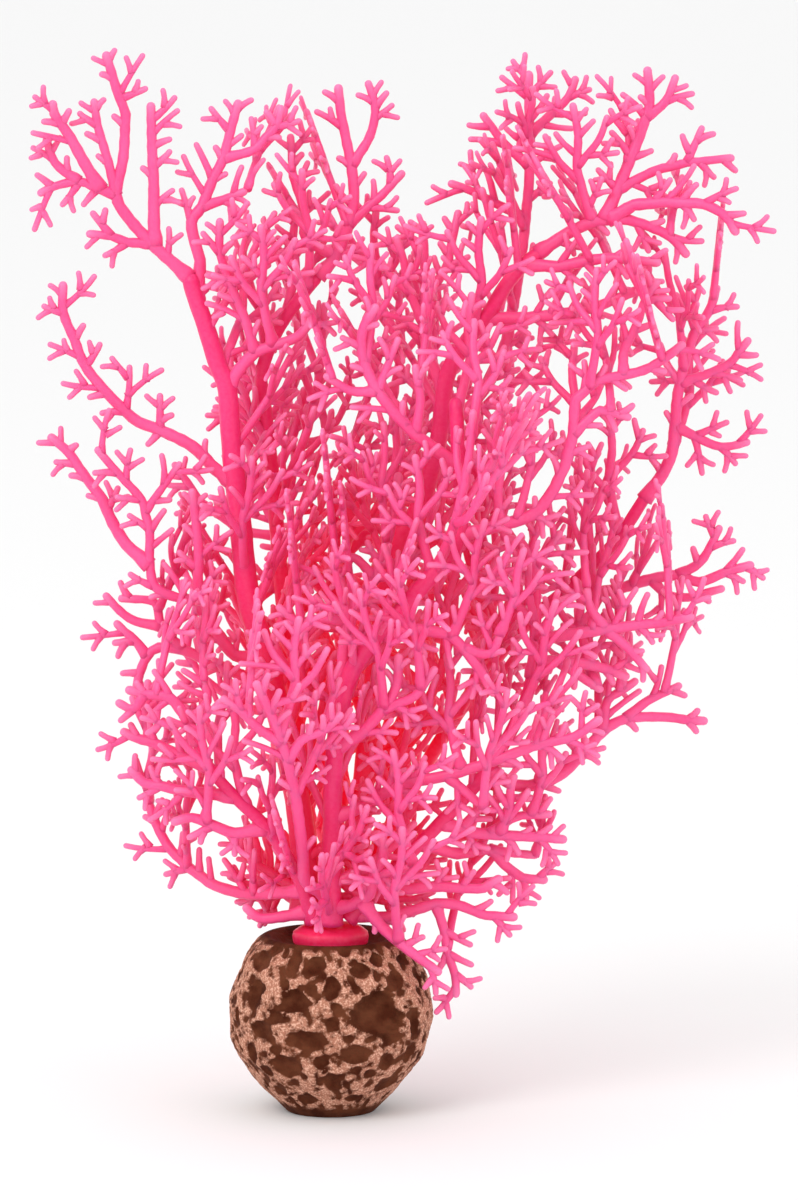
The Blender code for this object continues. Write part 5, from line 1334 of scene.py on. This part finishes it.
def newGroup(name, inputs, outputs):
    # a node group with its input and output sockets
    group = bpy.data.node_groups.new(name, "ShaderNodeTree")
    for label, kind, value in inputs:
        socket = group.interface.new_socket(name=label, in_out="INPUT", socket_type=kind)
        socket.default_value = value
    for label, kind in outputs:
        group.interface.new_socket(name=label, in_out="OUTPUT", socket_type=kind)
    return group, group.nodes.new("NodeGroupInput"), group.nodes.new("NodeGroupOutput")


def link(tree, source, target):
    # the source socket feeds the target socket
    tree.links.new(source, target)


def speckleGroup():
    # mottling at one scale: noise pushed between two limits, as a mask from 0 to 1
    group, given, out = newGroup(
        "mottle",
        [("Scale", "NodeSocketFloat", 300.0), ("Low", "NodeSocketFloat", 0.4), ("High", "NodeSocketFloat", 0.6),
         ("Detail", "NodeSocketFloat", 3.0)],
        [("Mask", "NodeSocketFloat"), ("Height", "NodeSocketFloat")])
    nodes = group.nodes
    where = nodes.new("ShaderNodeTexCoord")
    noise = nodes.new("ShaderNodeTexNoise")
    limits = nodes.new("ShaderNodeMapRange")
    link(group, where.outputs["Object"], noise.inputs["Vector"])
    link(group, given.outputs["Scale"], noise.inputs["Scale"])
    link(group, given.outputs["Detail"], noise.inputs["Detail"])
    link(group, noise.outputs["Fac"], limits.inputs["Value"])
    link(group, given.outputs["Low"], limits.inputs["From Min"])
    link(group, given.outputs["High"], limits.inputs["From Max"])
    link(group, limits.outputs["Result"], out.inputs["Mask"])
    link(group, noise.outputs["Fac"], out.inputs["Height"])
    return group


def blendColor(tree, fac, first, second):
    # first where fac is 0, second where it is 1; each is a colour or a socket
    mix = tree.nodes.new("ShaderNodeMix")
    mix.data_type = "RGBA"
    for socket, value in ((mix.inputs[6], first), (mix.inputs[7], second)):
        if isinstance(value, tuple):
            socket.default_value = (*value, 1)
        else:
            link(tree, value, socket)
    if isinstance(fac, float):
        mix.inputs[0].default_value = fac
    else:
        link(tree, fac, mix.inputs[0])
    return mix.outputs[2]


def times(tree, value, factor):
    # value * factor, where the factor is a number or a socket
    made = tree.nodes.new("ShaderNodeMath")
    made.operation = "MULTIPLY"
    link(tree, value, made.inputs[0])
    if isinstance(factor, float):
        made.inputs[1].default_value = factor
    else:
        link(tree, factor, made.inputs[1])
    return made.outputs[0]


def mottle(tree, group, scale, low, high, detail=3.0):
    # one use of the mottle group
    made = tree.nodes.new("ShaderNodeGroup")
    made.node_tree = group
    for label, value in (("Scale", scale), ("Low", low), ("High", high), ("Detail", detail)):
        made.inputs[label].default_value = value
    return made


def bump(tree, height, strength, distance, before=None):
    # bumps as high as distance * height, on top of the bumps from before
    made = tree.nodes.new("ShaderNodeBump")
    made.inputs["Strength"].default_value = strength
    made.inputs["Distance"].default_value = distance
    link(tree, height, made.inputs["Height"])
    if before is not None:
        link(tree, before, made.inputs["Normal"])
    return made.outputs["Normal"]


plastic = {
    "pink": (0.9, 0.085, 0.29),
    "deepPink": (0.82, 0.008, 0.15),
    "tipPink": (0.95, 0.22, 0.44),
    # the next four paint the light that passes through the plastic in the heart of the bush: a painted red and
    # a painted glow
    "paintedInnerRed": (0.8, 0.006, 0.05),
    "paintedInnerRedness": 0.95,
    "paintedGlow": (0.6, 0.0, 0.012),
    "paintedGlowStrength": 0.32,
    "mottling": 0.35,
    "roughness": 0.42,
    "subsurface": 0.2,
    "subsurfaceRadius": (1.0, 0.25, 0.3),
    "subsurfaceScale": 0.0015,
}


def plasticMaterial(name, mottles):
    # pink mottled with deepPink, deepPink on stems, painted redder and glowing in the heart for light passed
    # through the plastic, and paler at the tips
    made = bpy.data.materials.new(name)
    made.use_nodes = True
    tree = made.node_tree
    shader = tree.nodes["Principled BSDF"]
    soft = mottle(tree, mottles, 90.0, 0.35, 0.65)
    fine = mottle(tree, mottles, 1400.0, 0.3, 0.7, 2.0)
    tip = tree.nodes.new("ShaderNodeAttribute")
    tip.attribute_name = "tip"
    paintedInnerLightMask = tree.nodes.new("ShaderNodeAttribute")
    paintedInnerLightMask.attribute_name = "paintedInnerLight"
    mottled = blendColor(tree, times(tree, soft.outputs["Mask"], plastic["mottling"]), plastic["pink"],
                         plastic["deepPink"])
    stemMask = times(tree, tip.outputs["Fac"], -0.8)
    stemMask.node.use_clamp = True
    body = blendColor(tree, stemMask, mottled, plastic["deepPink"])
    # painted light: red painted over the heart, and a painted glow there, for light passed through the plastic
    paintedInnerRed = blendColor(tree, times(tree, paintedInnerLightMask.outputs["Fac"], plastic["paintedInnerRedness"]), body, plastic["paintedInnerRed"])
    paintedGlow = blendColor(tree, paintedInnerLightMask.outputs["Fac"], (0.0, 0.0, 0.0), plastic["paintedGlow"])
    link(tree, paintedGlow, shader.inputs["Emission Color"])
    shader.inputs["Emission Strength"].default_value = plastic["paintedGlowStrength"]
    tipMask = times(tree, tip.outputs["Fac"], 0.75)
    tipMask.node.use_clamp = True
    frosted = blendColor(tree, tipMask, paintedInnerRed, plastic["tipPink"])
    color = blendColor(tree, times(tree, fine.outputs["Mask"], 0.12), frosted, plastic["tipPink"])
    link(tree, color, shader.inputs["Base Color"])
    rough = tree.nodes.new("ShaderNodeMapRange")
    rough.inputs["To Min"].default_value = plastic["roughness"] - 0.06
    rough.inputs["To Max"].default_value = plastic["roughness"] + 0.1
    link(tree, fine.outputs["Mask"], rough.inputs["Value"])
    link(tree, rough.outputs["Result"], shader.inputs["Roughness"])
    link(tree, bump(tree, fine.outputs["Height"], 0.25, 0.00012), shader.inputs["Normal"])
    shader.inputs["Subsurface Weight"].default_value = plastic["subsurface"]
    shader.inputs["Subsurface Radius"].default_value = plastic["subsurfaceRadius"]
    shader.inputs["Subsurface Scale"].default_value = plastic["subsurfaceScale"]
    shader.inputs["IOR"].default_value = 1.46
    return made


stone = {
    "pit": (0.055, 0.009, 0.0015),
    "brown": (0.12, 0.033, 0.013),
    "ridge": (0.42, 0.18, 0.115),
    "paleRidge": (0.72, 0.4, 0.29),
    "roughness": 0.88,
    "shine": 0.15,
}


def stoneMaterial(mottles):
    # pit and brown in patches, ridge where worn and brushed, and paleRidge in specks on that
    made = bpy.data.materials.new("pitted stone")
    made.use_nodes = True
    tree = made.node_tree
    shader = tree.nodes["Principled BSDF"]
    wear = tree.nodes.new("ShaderNodeAttribute")
    wear.attribute_name = "wear"
    patches = mottle(tree, mottles, 260.0, 0.36, 0.62)
    brush = mottle(tree, mottles, 620.0, 0.36, 0.5, 5.0)
    dust = mottle(tree, mottles, 2600.0, 0.5, 0.62, 2.0)
    sharp = tree.nodes.new("ShaderNodeMapRange")
    sharp.inputs["From Min"].default_value = 0.35
    sharp.inputs["From Max"].default_value = 0.9
    link(tree, wear.outputs["Fac"], sharp.inputs["Value"])
    ground = blendColor(tree, patches.outputs["Mask"], stone["pit"], stone["brown"])
    brushed = times(tree, sharp.outputs["Result"], brush.outputs["Mask"])
    painted = blendColor(tree, brushed, ground, stone["ridge"])
    speckled = times(tree, brushed, dust.outputs["Mask"])
    color = blendColor(tree, speckled, painted, stone["paleRidge"])
    link(tree, color, shader.inputs["Base Color"])
    first = bump(tree, brush.outputs["Height"], 0.7, 0.0006)
    link(tree, bump(tree, dust.outputs["Height"], 0.4, 0.0002, first), shader.inputs["Normal"])
    shader.inputs["Roughness"].default_value = stone["roughness"]
    shader.inputs["Specular IOR Level"].default_value = stone["shine"]
    return made


studio = {
    "floor": (0.86, 0.86, 0.86),
    "world": 1.08,
    "key": 4.5,
    "fill": 1.0,
    "distance": 1.6,
    "elevation": math.radians(8),
    "centre": (13.0, 97.0),
    "frameHeight": 226.8,
}


def plainMaterial(name, color):
    # one dull colour
    made = bpy.data.materials.new(name)
    made.use_nodes = True
    inputs = made.node_tree.nodes["Principled BSDF"].inputs
    inputs["Base Color"].default_value = (*color, 1)
    inputs["Roughness"].default_value = 0.9
    return made


def aimAt(holder, target):
    # turns an object's -z to the target: yaw = atan2(y, x) - 90, pitch = atan2(z, run) + 90 degrees
    way = np.array(target) - np.array(holder.location)
    yaw = math.atan2(way[1], way[0]) - math.pi / 2
    pitch = math.atan2(way[2], math.hypot(way[0], way[1])) + math.pi / 2
    holder.rotation_euler = (pitch, 0, yaw)


def areaLight(name, at, size, watts, target):
    # a round soft light that looks at the target
    data = bpy.data.lights.new(name, "AREA")
    data.shape = "DISK"
    data.size = size
    data.energy = watts
    made = bpy.data.objects.new(name, data)
    made.location = at
    bpy.context.scene.collection.objects.link(made)
    aimAt(made, target)


def setStage():
    # a pale floor, a white world and two soft lights
    corners = np.array([[-8000, -8000, 0], [8000, -8000, 0], [8000, 8000, 0], [-8000, 8000, 0]], float)
    floor = meshObject("floor", corners, np.array([[0, 1, 2, 3]]), np.empty((0, 3), int), {})
    floor.data.materials.append(plainMaterial("pale floor", studio["floor"]))
    world = bpy.data.worlds.new("soft studio")
    world.use_nodes = True
    background = world.node_tree.nodes["Background"]
    background.inputs["Color"].default_value = (1, 1, 1, 1)
    background.inputs["Strength"].default_value = studio["world"]
    bpy.context.scene.world = world
    middle = (0.01, 0, 0.1)
    areaLight("key", (-0.5, -0.75, 0.85), 0.6, studio["key"], middle)
    areaLight("fill", (0.8, -0.7, 0.35), 0.8, studio["fill"], middle)
    bpy.context.scene.view_settings.view_transform = "Standard"


def setCamera():
    # lens = sensor * distance / frame height, looking down by the elevation
    across, height = studio["centre"]
    target = np.array([across, 0, height / math.cos(studio["elevation"])]) * mm
    back = studio["distance"]
    data = bpy.data.cameras.new("camera")
    data.sensor_width = 36
    data.lens = 36 * back / (studio["frameHeight"] * mm)
    data.clip_end = 50
    camera = bpy.data.objects.new("camera", data)
    tilt = studio["elevation"]
    camera.location = target + back * np.array([0, -math.cos(tilt), math.sin(tilt)])
    bpy.context.scene.collection.objects.link(camera)
    aimAt(camera, target)
    bpy.context.scene.camera = camera


setCamera()
mottles = speckleGroup()
plasticFinish = plasticMaterial("moulded pink plastic", mottles)
ballObject(stoneMaterial(mottles))
plugObject(plasticFinish)
grown, numbers, thicket = growAll()
extra = fillBush(grown, numbers, thicket)
print("grown:", len(grown), "sprays and", len(extra), "small fans")
for spray in grown + extra:
    refine(spray, thicket)
for spray in grown + extra:
    forkAll(spray, thicket)
print("fine twigs:", sum(len(spray["fine"]) for spray in grown + extra))
shells = {spray["name"]: sprayShells(spray) for spray in grown}
for name, (first, last, route) in stems.items():
    shells[name] = [stemShell(first, last, route)]
for fan in extra:
    shells[fan["name"]] += sprayShells(fan)
count = sum(pieceObject(name, made, plasticFinish) for name, made in shells.items())
print("branching work:", count, "triangles")
setStage()
